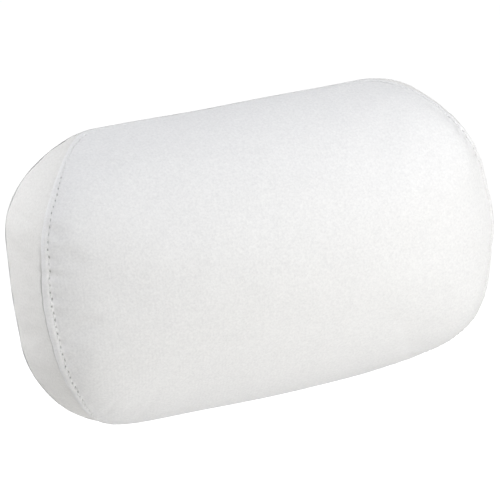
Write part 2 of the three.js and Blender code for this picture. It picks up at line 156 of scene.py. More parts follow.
# Foam core: one moulded block of cream polyurethane foam, crowned in front and flat behind. It has a
# round pocket behind each eyelet and a long one behind the zip, and it fills the cover.
back_width = 307 * mm
end_flare = 6 * mm
front_width = back_width - 2 * end_flare
pillow_height = 184 * mm
pillow_thickness = 75 * mm
corner_radius = 59 * mm
end_bow = 7 * mm
bottom_bow = 8 * mm
end_panel_depth = 52 * mm
end_panel_swell = 3 * mm
seam_power = 4.1
seam_bows = {"top left": 10 * mm, "bottom left": 13 * mm, "top right": 7.5 * mm, "bottom right": 0}
seam_bow_power = 1.8
crown_power = 1.85
cloth_thickness = 1.2 * mm
gap = 0.3 * mm
cover_inside = cloth_thickness + gap
half_height = pillow_height / 2
half_front = front_width / 2
side_steps, corner_steps, edge_steps = 3, 7, 4
quarter_steps = side_steps + corner_steps + edge_steps
loop_steps = 4 * quarter_steps
fullness_reach = 1.6
# Each place where the stuffing shapes the edge, as a step of the outline and millimetres outwards. A program
# fitted the first values to the photograph, and they were then thinned, rounded and in part changed.
# Two of the seam bows come from the same fit.
fullness_table = [
    (0, 3.2), (2.5, 1.6), (5, 2.2), (7.5, 2), (15, -0.7), (18, -0.3), (20.5, -1.2), (24, 0.7), (30.5, -0.7),
    (35, 1.8), (37.5, 1.4), (40, -0.4), (49.5, 1.2), (52.5, -1.6),
]
cup_x = back_width / 2 - 59.5 * mm
cup_z = half_height - 44 * mm


def outline(step, share, inset):
    """The pillow's outline, drawn in by an inset and by a share of the way to the crest, as x and z.
    Steps count from the middle of the right end up and round."""
    step, share = np.broadcast_arrays(np.asarray(step, float), np.asarray(share, float))
    turn = np.mod(step, loop_steps)
    quarter = np.floor(turn / quarter_steps).astype(int) % 4
    along = turn - quarter * quarter_steps
    along = np.where(quarter % 2 == 1, quarter_steps - along, along)
    b = half_height - inset
    high = b * (1 - share)
    wide = half_front - inset - b * share - (half_front - half_height) * share ** 3
    r = (corner_radius - inset) * (1 - share)
    angle = np.clip((along - side_steps) / corner_steps, 0, 1) * math.pi / 2
    run = (wide - r) * (1 - np.clip((along - side_steps - corner_steps) / edge_steps, 0, 1))
    x = np.where(along < side_steps + corner_steps, wide - r + r * np.cos(angle), run)
    z = np.where(along < side_steps, (high - r) * along / side_steps, high - r + r * np.sin(angle))
    x = np.where((quarter == 1) | (quarter == 2), -x, x)
    return x, np.where(quarter > 1, -z, z)


def seam_depth(step):
    """How far in front of the back panel the end seam lies."""
    return end_panel_depth * (1 - np.abs(outline(step, 0, 0)[1] / half_height) ** seam_power)


def outward(step):
    """The direction in which the outline faces, as x and z."""
    x, z = outline(step, 0, 0)
    run_x, run_z = half_front - corner_radius, half_height - corner_radius
    x, z = x - np.clip(x, -run_x, run_x), z - np.clip(z, -run_z, run_z)
    size = np.hypot(x, z)
    return x / size, z / size


def seam_shift(step):
    """How far the end seams bow in towards their tips, along x."""
    x, z = outline(step, 0, 0)
    left_bow = np.where(z > 0, seam_bows["top left"], seam_bows["bottom left"])
    right_bow = np.where(z > 0, seam_bows["top right"], seam_bows["bottom right"])
    narrow = np.sqrt(np.clip(seam_depth(step) / end_panel_depth, 0, 1))
    bow = np.where(x < 0, left_bow, right_bow)
    return -bow * x / half_front * np.abs(z / half_height) ** seam_bow_power * narrow


def fullness(step):
    """How far the stuffing pushes the edge out past its pattern, or leaves it short."""
    total = 0
    for place, amount in fullness_table:
        away = np.abs((step - place + loop_steps / 2) % loop_steps - loop_steps / 2)
        total = total + amount * mm * np.exp(-(away / fullness_reach) ** 2)
    return total


def bowed(step, share, inset, depth, forward):
    """The outline with the bows of the sewn cover, as x and z. Forward is 0 at the back edge, and 1 at the
    seam and on the crown."""
    fade = 1 - share
    x, z = outline(step, share, inset)
    out_x, out_z = outward(step)
    extra = fullness(step) * fade ** 2
    taper = 1 + (back_width / front_width - 1) * (1 - depth / end_panel_depth) * fade
    drawn_in = end_bow * fade * (x / half_front) * (z / half_height) ** 2
    sag = np.where(z < 0, bottom_bow * fade * np.abs(z / half_height) * (1 - (x / half_front) ** 2), 0)
    return (x - drawn_in) * taper + seam_shift(step) * fade * forward + extra * out_x, z - sag + extra * out_z


def placed(x, depth, z):
    """Points from x, the depth from the back panel's outer face towards the front, and z."""
    return np.stack(np.broadcast_arrays(x, -wall_standoff - depth, z), -1)


def crown_point(step, share, inset, start):
    """A point of the crown: share 0 is the edge or seam, 1 is the crest."""
    rise = (1 - (1 - share) ** crown_power) ** (1 / crown_power)
    depth = start + (pillow_thickness - inset - start) * rise
    x, z = bowed(step, share, inset, np.minimum(start, end_panel_depth), 1)
    return placed(x, depth, z)


def wall_point(step, share, inset, start, end):
    """A point of the upright wall: share 0 is at depth start, 1 is at depth end."""
    depth = start + (end - start) * share
    swell = end_panel_swell * 4 * share * (1 - share) * (end - start) / end_panel_depth
    x, z = bowed(step, 0, inset, depth, share)
    return placed(x + np.sign(x) * swell, depth, z)


class Patch:
    """Rows of points that share columns, and the faces between them. A row may skip some columns."""

    def __init__(self, loop):
        self.points, self.uvs, self.shades, self.faces = [], [], [], []
        self.loop, self.count = loop, 0

    def row(self, columns, points, uv=None, shade=0):
        points = np.asarray(points, float).reshape(-1, 3)
        self.points.append(points)
        self.uvs.append(np.zeros((len(points), 2)) if uv is None else np.asarray(uv).reshape(-1, 2))
        self.shades.append(np.zeros(len(points)) + shade)
        self.count += len(points)
        return [(int(c), self.count - len(points) + k) for k, c in enumerate(columns)]

    def join(self, first, second):
        """Faces from one row to the next; the sparser row's columns are all in the other."""
        dense, sparse = (second, first) if len(first) < len(second) else (first, second)
        where = {column: k for k, (column, _) in enumerate(dense)}
        for (here, a), (there, b) in zip(sparse, sparse[1:] + sparse[:1] if self.loop else sparse[1:]):
            start, stop = where[here], where[there]
            stop += len(dense) if stop <= start else 0
            run = [dense[k % len(dense)][1] for k in range(start, stop + 1)]
            self.faces.append(run[::-1] + [a, b] if dense is first else [b, a] + run)

    def rows(self, *made):
        for first, second in zip(made, made[1:]):
            self.join(first, second)

    def tip(self, row, point, uv=(0, 0)):
        """Closes a loop on one point."""
        (_, top), = self.row([0], [point], [uv])
        for (_, a), (_, b) in zip(row, row[1:] + row[:1]):
            self.faces.append([b, a, top])

    def made(self, name, material):
        """The mesh object, with doubled points merged and its faces turned outwards."""
        data = bpy.data.meshes.new(name)
        data.from_pydata(np.concatenate(self.points).tolist(), [], self.faces)
        layer = data.uv_layers.new(name="cloth")
        corners = np.empty(len(data.loops), int)
        data.loops.foreach_get("vertex_index", corners)
        layer.data.foreach_set("uv", np.concatenate(self.uvs).astype(np.float32)[corners].ravel())
        shade = data.attributes.new("shade", "FLOAT", "POINT")
        shade.data.foreach_set("value", np.concatenate(self.shades).astype(np.float32))
        obj = bpy.data.objects.new(name, data)
        bpy.context.scene.collection.objects.link(obj)
        data.materials.append(material)
        edit(obj)
        bpy.ops.mesh.remove_doubles(threshold=1e-6)
        bpy.ops.mesh.normals_make_consistent(inside=False)
        return done(obj)


def choose(*objects):
    """Selects these objects alone, the first of them active."""
    bpy.ops.object.select_all(action="DESELECT")
    for obj in objects:
        obj.select_set(True)
    bpy.context.view_layer.objects.active = objects[0]


def edit(obj):
    """Opens edit mode on one object alone, with all of it selected."""
    choose(obj)
    bpy.ops.object.mode_set(mode="EDIT")
    bpy.ops.mesh.select_all(action="SELECT")


def done(obj, angle=None):
    """Closes edit mode, and smooths all the faces, or those that meet below an angle."""
    if bpy.context.mode != "OBJECT":
        bpy.ops.object.mode_set(mode="OBJECT")
    choose(obj)
    if angle is None:
        bpy.ops.object.shade_smooth()
    else:
        bpy.ops.object.shade_smooth_by_angle(angle=math.radians(angle))
    obj.select_set(False)
    return obj


def applied(obj, kind, **settings):
    """Adds a modifier and applies it."""
    choose(obj)
    modifier = obj.modifiers.new(kind.lower(), kind)
    for key, value in settings.items():
        setattr(modifier, key, value)
    bpy.ops.object.modifier_apply(modifier=modifier.name)
    obj.select_set(False)
    return obj


def cut(obj, cutter):
    """Takes the cutter's shape out of a piece."""
    applied(obj, "BOOLEAN", operation="DIFFERENCE", object=cutter)
    bpy.data.objects.remove(cutter)


def belongs(obj, body, slot_name, *nodes):
    """The body that a piece rides on, its material slot, which is not used, and the CAD nodes that it stands
    for.
    """
    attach(obj, body)
    if nodes:
        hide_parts(*nodes)
    return obj


# Flexible polyurethane foam, sawn and left raw: dull cream, with open cells about half a millimetre across.
foam = new_material("raw_polyurethane_foam")
at = node(foam, "ShaderNodeTexCoord")
cells = node(foam, "ShaderNodeTexVoronoi", {"Vector": (at, "Object")}, inputs={"Scale": 1 / (0.9 * mm)})
# Painted shade: the cream is darkest at the middle of each cell, where the bump sinks its pit.
cream = node(foam, "ShaderNodeMixRGB", {0: (cells, "Distance")},
             inputs={1: linear("#e2d6b4"), 2: linear("#f6efdc")})
pitted = node(foam, "ShaderNodeBump", {"Height": (cells, "Distance")},
              inputs={"Strength": 0.5, "Distance": 0.3 * mm})
skin = node(foam, "ShaderNodeBsdfPrincipled", {"Base Color": cream, "Normal": pitted},
            inputs={"Roughness": 0.95})
node(foam, "ShaderNodeOutputMaterial", {"Surface": skin})

crown_shares = [0.004, 0.012, 0.025, 0.045, 0.07, 0.1, 0.14, 0.19, 0.25, 0.32, 0.4, 0.5, 0.6, 0.72,
                0.84, 0.94]
squeeze_share = 0.12


def stuffed_form(name, inset, back, squeeze=0):
    """The closed form of the pillow at an inset, drawn in further by a squeeze beside its end seams."""
    steps = np.arange(0, loop_steps, 0.25)
    ids = range(len(steps))
    seam = np.maximum(seam_depth(steps), back)
    form = Patch(loop=True)
    edge = wall_point(steps, 0, inset, back, seam)
    rows = [form.row(ids, edge * [share, 1, share]) for share in (0.3, 0.6, 0.85)]
    for share in np.linspace(0, 1, 9):
        tucked = inset + squeeze * share ** 4
        rows.append(form.row(ids, wall_point(steps, share, tucked, back, seam)))
    for share in crown_shares:
        tucked = inset + squeeze * math.exp(-(share / squeeze_share) ** 2)
        rows.append(form.row(ids, crown_point(steps, share, tucked, seam)))
    form.rows(*rows)
    form.tip(rows[-1], placed(0, pillow_thickness - inset, 0))
    form.tip(rows[0][::-1], placed(0, back, 0))
    return form.made(name, foam)


foam_ease = 1.2 * mm
foam_squeeze = 3 * mm
foam_core = stuffed_form("foam_block", cover_inside + foam_ease, cover_inside, foam_squeeze)

pocket_depth = 7.9 * mm
pocket_radius = 10.2 * mm
zip_pocket = (228.4 * mm, 31.4 * mm)
zip_pocket_depth = 4.8 * mm
for x, z in [(side * cup_x, height * cup_z) for side in (-1, 1) for height in (-1, 1)]:
    bpy.ops.mesh.primitive_cylinder_add(vertices=40, radius=pocket_radius, depth=2 * pocket_depth,
                                        location=(x, -wall_standoff, z), rotation=(math.pi / 2, 0, 0))
    cut(foam_core, bpy.context.object)
bpy.ops.mesh.primitive_cube_add(size=1, location=(0, -wall_standoff, 0),
                                scale=(zip_pocket[0], 2 * zip_pocket_depth, zip_pocket[1]))
cut(foam_core, bpy.context.object)
done(foam_core, 35)
belongs(foam_core, "pillow", "foam", "foam_core")

# Front cover: one smooth white cloth over the crown, the top and the bottom. At each end its edge is
# turned under and topstitched, so it stands proud of the seam, and it dips at every needle hole.
stitch_offset = 5.2 * mm
stitch_pitch = 4.5 * mm
columns_per_stitch = 8
last_step = 9.3
fold_radius = 1.2 * mm
lip_rise = {-1: 1.9 * mm, 1: 0.7 * mm}  # at the left end and at the right
lip_width = 6.5 * mm
hole_depth = 0.7 * mm
channel_depth = 0.45 * mm
pucker_edge, pucker_spread = 4 * mm, 20 * mm
lip_start = 0.7 * mm
open_top, open_top_fade = 22 * mm, 6 * mm
open_foot, open_foot_fade = 38 * mm, 7 * mm
least_open = 0.22
slack_from, slack_fade = 72 * mm, 14 * mm
right_tight_from, right_tight_fade = 38 * mm, 6 * mm
# Each pucker, by end: its place along the seam from the middle, depth, half width and reach, in millimetres.
pucker_table = {
    -1: [(66, 0.5, 6, 14), (47, 0.9, 3.5, 9), (34, 0.4, 8, 20), (29, 0.7, 2.5, 7), (20, 1.1, 2.5, 9),
         (5, 0.9, 2.5, 7), (-6, 1, 3, 9), (-13, 0.4, 6, 24), (-24, 1, 3, 9), (-36, 1, 3, 10),
         (-46, 0.8, 3, 9), (-58, 0.9, 3.5, 10), (-70, 0.6, 4, 12), (-86, 0.4, 6, 16)],
    1: [(76, 0.8, 3, 8), (66, 0.8, 3, 7), (56, 0.7, 3, 8), (44, 0.7, 3.5, 9), (27, 0.6, 5, 16),
        (3, 0.45, 6, 18), (-17, 0.6, 4, 10), (-38, 0.5, 7, 22), (-58, 0.4, 6, 18), (-80, 0.35, 7, 16)],
}


def vertex_places(obj):
    flat = np.empty(3 * len(obj.data.vertices))
    obj.data.vertices.foreach_get("co", flat)
    return flat.reshape(-1, 3)


def tree_of(places):
    tree = KDTree(len(places))
    for k, place in enumerate(places):
        tree.insert(place, k)
    tree.balance()
    return tree


def near_mean(places, values, reach):
    """Each value's mean over its neighbours, weighed by how close they lie."""
    means = []
    for some in np.array_split(places, 40):
        away = ((some[:, None] - places[None]) ** 2).sum(2)
        weight = np.exp(-away / reach ** 2)
        means.append(weight @ values / weight.sum(1))
    return np.concatenate(means)


# The cover is blown up tight as a cloth, held at its seams and flat back, with its cloth drawn together along
# the end stitching. The puckers that this raises are kept, and the swell of the whole is not.
cloth_grid = 4 * mm
held_reach = 3.2 * mm
drawn_reach = 4 * mm
drawn_share = 0.03
air_pressure = 10
pucker_cap = 1.3 * mm
swell_reach = 17 * mm
last_frame = 20
simulated = None
form = stuffed_form("cloth_form", 0, 0.5 * mm)
applied(form, "REMESH", mode="VOXEL", voxel_size=cloth_grid)
at_rest = vertex_places(form)
round_steps = np.linspace(0, loop_steps, 1500)
seam_line = wall_point(round_steps, 1, 0, 0, seam_depth(round_steps))
back_line = wall_point(round_steps, 0, 0, 0, 0)
at_end = seam_depth(round_steps) > 2 * mm
to_sewing = tree_of(np.concatenate([seam_line, back_line]))
to_seam = tree_of(seam_line[at_end])
held = form.vertex_groups.new(name="held")
drawn = form.vertex_groups.new(name="drawn_together")
for k, place in enumerate(at_rest):
    flat_back = place[1] > -wall_standoff - 0.8 * mm
    held.add([k], float(flat_back or to_sewing.find(place)[2] < held_reach), "REPLACE")
    beside = to_seam.find(place)[2] - stitch_offset
    drawn.add([k], math.exp(-(beside / drawn_reach) ** 2), "REPLACE")
cloth = form.modifiers.new("cloth", "CLOTH")
cloth.settings.quality = 6
cloth.settings.vertex_group_mass = "held"
cloth.settings.use_pressure = True
cloth.settings.uniform_pressure_force = air_pressure
cloth.settings.bending_stiffness = 1.5
cloth.settings.effector_weights.gravity = 0
cloth.settings.vertex_group_shrink = "drawn_together"
cloth.settings.shrink_max = drawn_share
cloth.point_cache.frame_start = 1
cloth.point_cache.frame_end = last_frame
for frame_number in range(1, last_frame + 1):
    bpy.context.scene.frame_set(frame_number)
bpy.context.view_layer.objects.active = form
bpy.ops.object.modifier_apply(modifier="cloth")
bpy.context.scene.frame_set(1)
facing = np.array([v.normal[:] for v in form.data.vertices])
lift = ((vertex_places(form) - at_rest) * facing).sum(1)
lift = lift - near_mean(at_rest, lift, swell_reach)
simulated = tree_of(at_rest), pucker_cap * np.tanh(lift / pucker_cap)
bpy.data.objects.remove(form)


def simulated_lift(points):
    """How far the cloth stands out at each point, after the simulation."""
    if simulated is None:
        return np.zeros(points.shape[:-1])
    tree, lift = simulated
    out = []
    for place in points.reshape(-1, 3):
        near = tree.find_n(place, 6)
        weight = np.array([1 / (away / cloth_grid + 0.25) ** 3 for _, _, away in near])
        out.append(weight @ lift[[k for _, k, _ in near]] / weight.sum())
    return np.array(out).reshape(points.shape[:-1])


sampled_shares = np.linspace(0, 1, 420) ** 1.7


def crown_paths(steps, inset=0):
    """For each step, the path from the edge to the crest: its points, its lengths, and its flat layout."""
    start = np.maximum(seam_depth(steps) + gap / 2, cover_inside)
    points = crown_point(steps[:, None], sampled_shares[None], inset, start[:, None])
    pieces = np.diff(points, axis=1)
    runs = np.linalg.norm(pieces, axis=2)
    lengths = np.concatenate([np.zeros((len(steps), 1)), np.cumsum(runs, 1)], 1)
    flat = np.linalg.norm(pieces[..., [0, 2]], axis=2, keepdims=True)
    ways = pieces[..., [0, 2]] / np.maximum(flat, 1e-9)
    layout = np.cumsum((ways * runs[..., None])[:, ::-1], 1)[:, ::-1]
    layout = -np.concatenate([layout, np.zeros((len(steps), 1, 2))], 1)
    return points, lengths, layout


def at_length(values, lengths, wanted):
    """Values along each path at the wanted length from its start."""
    wanted = np.broadcast_to(wanted, (len(lengths),))
    out = np.empty((len(lengths), values.shape[2]))
    for k, (row, length) in enumerate(zip(values, lengths)):
        for axis in range(values.shape[2]):
            out[k, axis] = np.interp(wanted[k], length, row[:, axis])
    return out


dense = np.linspace(-last_step, last_step, 1201)
points, lengths, _ = crown_paths(dense)
track = at_length(points, lengths, stitch_offset)
track_length = np.concatenate([[0], np.cumsum(np.linalg.norm(np.diff(track, axis=0), axis=1))])
stitch_count = round(track_length[-1] / stitch_pitch / 4) * 4
stitch_pitch = track_length[-1] / stitch_count
end_arcs = np.linspace(0, track_length[-1], stitch_count * columns_per_stitch + 1)
end_steps = np.interp(end_arcs, track_length, dense)
end_arcs = end_arcs - track_length[-1] / 2
edge_columns = 64
edge_run = np.linspace(last_step, loop_steps / 2 - last_step, edge_columns + 1)[1:-1]
cover_steps = np.concatenate([end_steps, edge_run, loop_steps / 2 + end_steps, edge_run + loop_steps / 2])
cover_arcs = np.concatenate([end_arcs, 0 * edge_run, -end_arcs, 0 * edge_run])
cover_side = np.concatenate([0 * end_arcs + 1, 0 * edge_run, 0 * end_arcs - 1, 0 * edge_run])
cover_keep = np.concatenate([np.arange(len(end_arcs)) % 4 == 0, edge_run > 0,
                             np.arange(len(end_arcs)) % 4 == 0, edge_run > 0])


def puckers(side, arc, beyond):
    """Soft hollows that the thread draws into the cloth, as a depth, by the distance from the stitching."""
    total = np.zeros(np.broadcast(arc, beyond).shape)
    for end, table in pucker_table.items():
        for place, depth, half, reach in table:
            across = np.exp(-(beyond / np.where(beyond > 0, reach * mm, pucker_edge)) ** 2)
            wide = half * mm * (1 + np.maximum(beyond, 0) / pucker_spread)
            along = np.exp(-((arc - place * mm) / wide) ** 2)
            total = total + (side == end) * depth * mm * across * along
    return total


def fold(distance):
    """How far a turned edge drops below the cloth, at a distance from it."""
    short = np.clip(1 - distance / fold_radius, 0, 1)
    return fold_radius * (1 - np.sqrt(np.clip(1 - short ** 2, 0, 1)))


def seam_open(height):
    """The seam gapes a little along the middle of each end and lies flush towards the corners."""
    rise = 1 / (1 + np.exp((height - open_top) / open_top_fade))
    fall = 1 / (1 + np.exp((-height - open_foot) / open_foot_fade))
    return least_open + (1 - least_open) * rise * fall


hole_chance = np.random.default_rng(7)
hole_pull = hole_chance.uniform(0.45, 1, 400)
hole_stray = hole_chance.uniform(-0.25, 0.25, 400) * mm


def needle_holes(arc, side, beside, across=0.45 * mm, along=0.9 * mm):
    """1 at the middle of a tightly pulled needle hole, less where the thread lies slack, by the place along
    the stitching and the distance beside it. Holes are slack towards the corners and low on the right end,
    and no two are alike."""
    number = np.round(arc / stitch_pitch).astype(int)
    phase = arc - number * stitch_pitch
    slack = np.exp(-(np.maximum(np.abs(arc) - slack_from, 0) / slack_fade) ** 2)
    tight = 0.1 + 0.9 / (1 + np.exp((right_tight_from - arc) / right_tight_fade))
    pull = hole_pull[number] * (0.3 + 0.7 * slack)
    pull = pull * np.where(side > 0, tight, 1)
    return pull * np.exp(-((beside - hole_stray[number]) / across) ** 2 - (phase / along) ** 2)


def cover_rise(length, arc, side, height):
    """How far the front cloth stands above its smooth crown, by the distance from its edge."""
    at_end = side != 0
    opened = np.where(at_end, seam_open(height), 1)
    level_off = np.clip(1 - length / lip_width, 0, 1)
    proud = np.where(side < 0, lip_rise[-1], lip_rise[1])
    lip = proud * at_end * opened * np.clip(length / lip_start, 0, 1) * level_off
    beside = length - stitch_offset
    channel = channel_depth * np.exp(-(beside / (np.where(beside < 0, 1, 1.8) * mm)) ** 2)
    hole = hole_depth * needle_holes(arc, side, beside)
    return lip - opened * fold(length) - at_end * (channel + hole) - puckers(side, arc, beside)


def cover_painted_shade(length, arc, side, height):
    """How much painted shade darkens the front cloth in the seam groove and in the needle holes, from 0 to 1.
    """
    at_end = side != 0
    seam = 0.5 * (seam_open(height) - 0.2) * np.exp(-(length / (0.2 * mm)) ** 2)
    holes = needle_holes(arc, side, length - stitch_offset, 0.36 * mm, 1.05 * mm)
    return at_end * np.maximum(seam, 0.9 * holes)


def along_and_out(points):
    """The outward direction at each point of a grid of rows by columns that run in a loop."""
    down = np.gradient(points, axis=0)
    along = np.roll(points, -1, axis=1) - np.roll(points, 1, axis=1)
    out = np.cross(along, down)
    out /= np.maximum(np.linalg.norm(out, axis=2, keepdims=True), 1e-12)
    middle = points.mean(axis=(0, 1)) + [0, 0.03, 0]
    return out * np.sign(np.sum(out * (points - middle), axis=2, keepdims=True).mean())


near_lengths = np.array([0, 0.12, 0.3, 0.55, 0.85, 1.2, 1.7, 2.3, 3, 3.7, 4.2, 4.55, 4.8, 5, 5.2, 5.4, 5.6,
                         5.9, 6.4, 7, 7.9, 9, 10.5, 12.4]) * mm
far_shares = np.linspace(0, 1, 40)[1:-1]
points, lengths, layout = crown_paths(cover_steps)
total_length = lengths[:, -1]
grid_lengths = [np.full(len(cover_steps), length) for length in near_lengths]
grid_lengths += [near_lengths[-1] + (total_length - near_lengths[-1]) * share for share in far_shares]
grid_front = np.stack([at_length(points, lengths, wanted) for wanted in grid_lengths])
flat = np.stack([at_length(layout, lengths, wanted) for wanted in grid_lengths])
out_front = along_and_out(grid_front)
rise = np.stack([cover_rise(wanted, cover_arcs, cover_side, grid_front[k, :, 2])
                 for k, wanted in enumerate(grid_lengths)])
lift = simulated_lift(grid_front[:, cover_keep])
lift *= 1 - np.exp(-(np.stack(grid_lengths)[:, cover_keep] / (4 * mm)) ** 2)
whole_turn = np.arange(len(cover_steps))
rise += np.stack([np.interp(whole_turn, whole_turn[cover_keep], row, period=len(cover_steps))
                  for row in lift])
raised_front = grid_front + out_front * rise[..., None]
shades = np.stack([cover_painted_shade(wanted, cover_arcs, cover_side, grid_front[k, :, 2])
                   for k, wanted in enumerate(grid_lengths)])

front = Patch(loop=True)
ids = np.arange(len(cover_steps))
kept = ids[cover_keep]
rows = []
for k in range(len(near_lengths)):
    rows.append(front.row(ids, raised_front[k], flat[k], shades[k]))
for k in range(len(near_lengths), len(grid_lengths)):
    share = far_shares[k - len(near_lengths)]
    skip = 1 if share < 0.35 else 2 if share < 0.6 else 4 if share < 0.85 else 8
    some = kept[::skip]
    rows.append(front.row(some, raised_front[k][some], flat[k][some]))
front.rows(*rows)
front.tip(rows[-1], placed(0, pillow_thickness, 0))
inner_rows = []
for k in [0, 3, 6, 8, 11, 14, 17, 20, *range(len(near_lengths) - 1, len(grid_lengths), 3)]:
    under = np.minimum(rise[k], np.roll(rise[k], 4)) - cloth_thickness
    lining = (grid_front[k] + out_front[k] * under[:, None])[kept]
    inner_rows.append(front.row(kept, lining, lining[:, [0, 2]]))
front.rows(*inner_rows[::-1], rows[0])
front.tip(inner_rows[-1][::-1], placed(0, pillow_thickness - cloth_thickness, 0))


# Brushed polyester, closely woven: matt near-white, with a fine grain. The real threads are about 0.3 mm
# apart, too fine to show, so the grain is drawn at about 1 mm.
def brushed_cloth(name, light, dark, warp=1.1 * mm):
    cloth = new_material(name)
    at = node(cloth, "ShaderNodeTexCoord")
    grain = node(cloth, "ShaderNodeTexNoise", {"Vector": (at, "Object")},
                 inputs={"Scale": 1 / (1.4 * mm), "Detail": 3, "Roughness": 0.7})
    cloud = node(cloth, "ShaderNodeTexNoise", {"Vector": (at, "Object")},
                 inputs={"Scale": 1 / (20 * mm), "Detail": 2})
    mixed = node(cloth, "ShaderNodeMix", {"A": (grain, "Fac"), "B": (cloud, "Fac")}, inputs={"Factor": 0.12})
    tone = node(cloth, "ShaderNodeMapRange", {"Value": mixed}, inputs={"From Min": 0.3, "From Max": 0.7})
    colour = node(cloth, "ShaderNodeMixRGB", {0: tone}, inputs={1: linear(dark), 2: linear(light)})
    # Painted shade: the points' shade attribute darkens the colour towards #6c6b6a in the seam grooves and
    # the needle holes.
    painted_shade = node(cloth, "ShaderNodeAttribute", attribute_name="shade")
    colour = node(cloth, "ShaderNodeMixRGB", {0: (painted_shade, "Fac"), 1: colour}, inputs={2: linear("#6c6b6a")})
    threads = [node(cloth, "ShaderNodeTexWave", {"Vector": (at, "UV")}, wave_type="BANDS",
                    bands_direction=way, inputs={"Scale": 0.05 / warp * 6.28 / 2, "Distortion": 1.5,
                                                 "Detail": 1, "Detail Scale": 0.4}) for way in ("X", "Y")]
    weave = node(cloth, "ShaderNodeMath", {0: (threads[0], "Fac"), 1: (threads[1], "Fac")},
                 operation="MULTIPLY")
    relief = node(cloth, "ShaderNodeMath", {0: weave, 1: (grain, "Fac")}, operation="ADD")
    bump = node(cloth, "ShaderNodeBump", {"Height": relief}, inputs={"Strength": 0.25, "Distance": 0.12 * mm})
    surface = node(cloth, "ShaderNodeBsdfPrincipled", {"Base Color": colour, "Normal": bump},
                   inputs={"Roughness": 0.9, "Sheen Weight": 0.15, "Sheen Roughness": 0.6,
                           "Specular IOR Level": 0.3})
    node(cloth, "ShaderNodeOutputMaterial", {"Surface": surface})
    return cloth


cover_cloth = brushed_cloth("white_brushed_polyester", "#fafafa", "#eaeaeb")
front_cover = front.made("front_cloth", cover_cloth)
belongs(front_cover, "pillow", "cover_cloth", "front_cover")

# End panels: a curved strip of the same cloth down each end, widest at mid-height and drawn to a point at
# its top and bottom. Its long edges are turned in under the front cloth and the back panels.
end_cloth = brushed_cloth("white_brushed_polyester_ends", "#f8f7f5", "#e9e8e6")
tip_share = (1 - (cover_inside + gap / 2) / end_panel_depth) ** (1 / seam_power)
tip_sine = (tip_share * half_height - half_height + corner_radius) / corner_radius
tip_step = side_steps + corner_steps * math.asin(tip_sine) / (math.pi / 2)
end_lift = 0.6
pucker_share = 0.6
lift_free = 5 * mm
low_from, low_fade = 42 * mm, 8 * mm
low_valley, back_roll, valley_reach = 1.6 * mm, 0.6 * mm, 7 * mm
valley_full_width = 18 * mm
full_width = 4 * mm
gather_pitch, gather_wander = 3.6 * mm, 23 * mm
gather_depth, gather_reach = 0.25 * mm, 9 * mm
shade_from, shade_fade = 2.3 * mm, 0.8 * mm
panel_shares = np.concatenate([[0, 0.004, 0.01, 0.02, 0.035, 0.06, 0.1, 0.16, 0.24],
                               np.linspace(0.32, 0.68, 7),
                               [0.76, 0.84, 0.9, 0.94, 0.965, 0.98, 0.99, 0.996, 1]])
for side, panel_name, cad_name in ((1, "end_cloth_right", "end_panel_right"),
                                   (-1, "end_cloth_left", "end_panel_left")):
    inside_steps = np.clip(end_steps[::2], -tip_step, tip_step)
    steps = inside_steps if side == 1 else loop_steps / 2 + inside_steps
    arcs = side * end_arcs[::2]
    ids = np.arange(len(steps))
    front_edge = np.maximum(seam_depth(steps) - gap / 2, cover_inside)
    grid = np.stack([wall_point(steps, share, 0, cover_inside, front_edge) for share in panel_shares])
    width = front_edge - cover_inside
    out_x, out_z = outward(steps)
    out = np.broadcast_to(np.stack([out_x, 0 * out_x, out_z], -1), grid.shape)
    to_front = (1 - panel_shares[:, None]) * width[None]
    to_back = panel_shares[:, None] * width[None]
    narrow = np.clip(width / full_width, 0, 1)[None]
    near_tip = np.clip(width / valley_full_width, 0, 1)[None]
    opened = seam_open(grid[..., 2])
    rise = -narrow * (opened * 2 * fold(to_front) + fold(to_back))
    low = 1 / (1 + np.exp((grid[..., 2] + low_from) / low_fade))
    rise = rise - near_tip * low_valley * low * np.exp(-(to_front / valley_reach) ** 2)
    rise = rise - narrow * low * back_roll * np.exp(-(to_back / valley_reach) ** 2)
    rise = rise - narrow * pucker_share * puckers(side, arcs[None], -to_front)
    gathers = np.sin(arcs / gather_pitch + 2 * np.sin(arcs / gather_wander))
    rise = rise + narrow * gather_depth * gathers * np.exp(-(to_back / gather_reach) ** 2)
    # Painted shade along the front edge, where the panel runs into the seam groove under the front cloth.
    shades = (opened - 0.2) * np.clip((shade_from - to_front) / shade_fade, 0, 1)
    lift = simulated_lift(grid)
    for distance in (to_front, to_back):
        lift = lift * (1 - np.exp(-(distance / lift_free) ** 2))
    rise = rise + end_lift * lift
    skin_points = grid + out * rise[..., None]
    lining = grid + out * (rise - cloth_thickness)[..., None]
    panel = Patch(loop=False)
    along_length = np.cumsum(np.concatenate([[0], np.linalg.norm(np.diff(grid[-1], axis=0), axis=1)]))
    outer = [panel.row(ids, skin_points[k], np.stack([along_length, to_back[k]], -1), shades[k])
             for k in range(len(panel_shares))]
    coarse = ids[::4]
    some_shares = [0, 5, 8, 12, 16, 19, 22, len(panel_shares) - 1]
    inner = [panel.row(coarse, lining[k][coarse], grid[k][coarse][:, 1:]) for k in some_shares]
    panel.rows(*outer)
    panel.rows(*inner[::-1])
    panel.rows(inner[0], outer[0])
    panel.rows(outer[-1], inner[-1])
    panel.faces.append([row[0][1] for row in outer][::-1] + [row[0][1] for row in inner])
    panel.faces.append([row[-1][1] for row in outer] + [row[-1][1] for row in inner][::-1])
    end_panel = panel.made(panel_name, end_cloth)
    belongs(end_panel, "pillow", "end_cloth", cad_name)
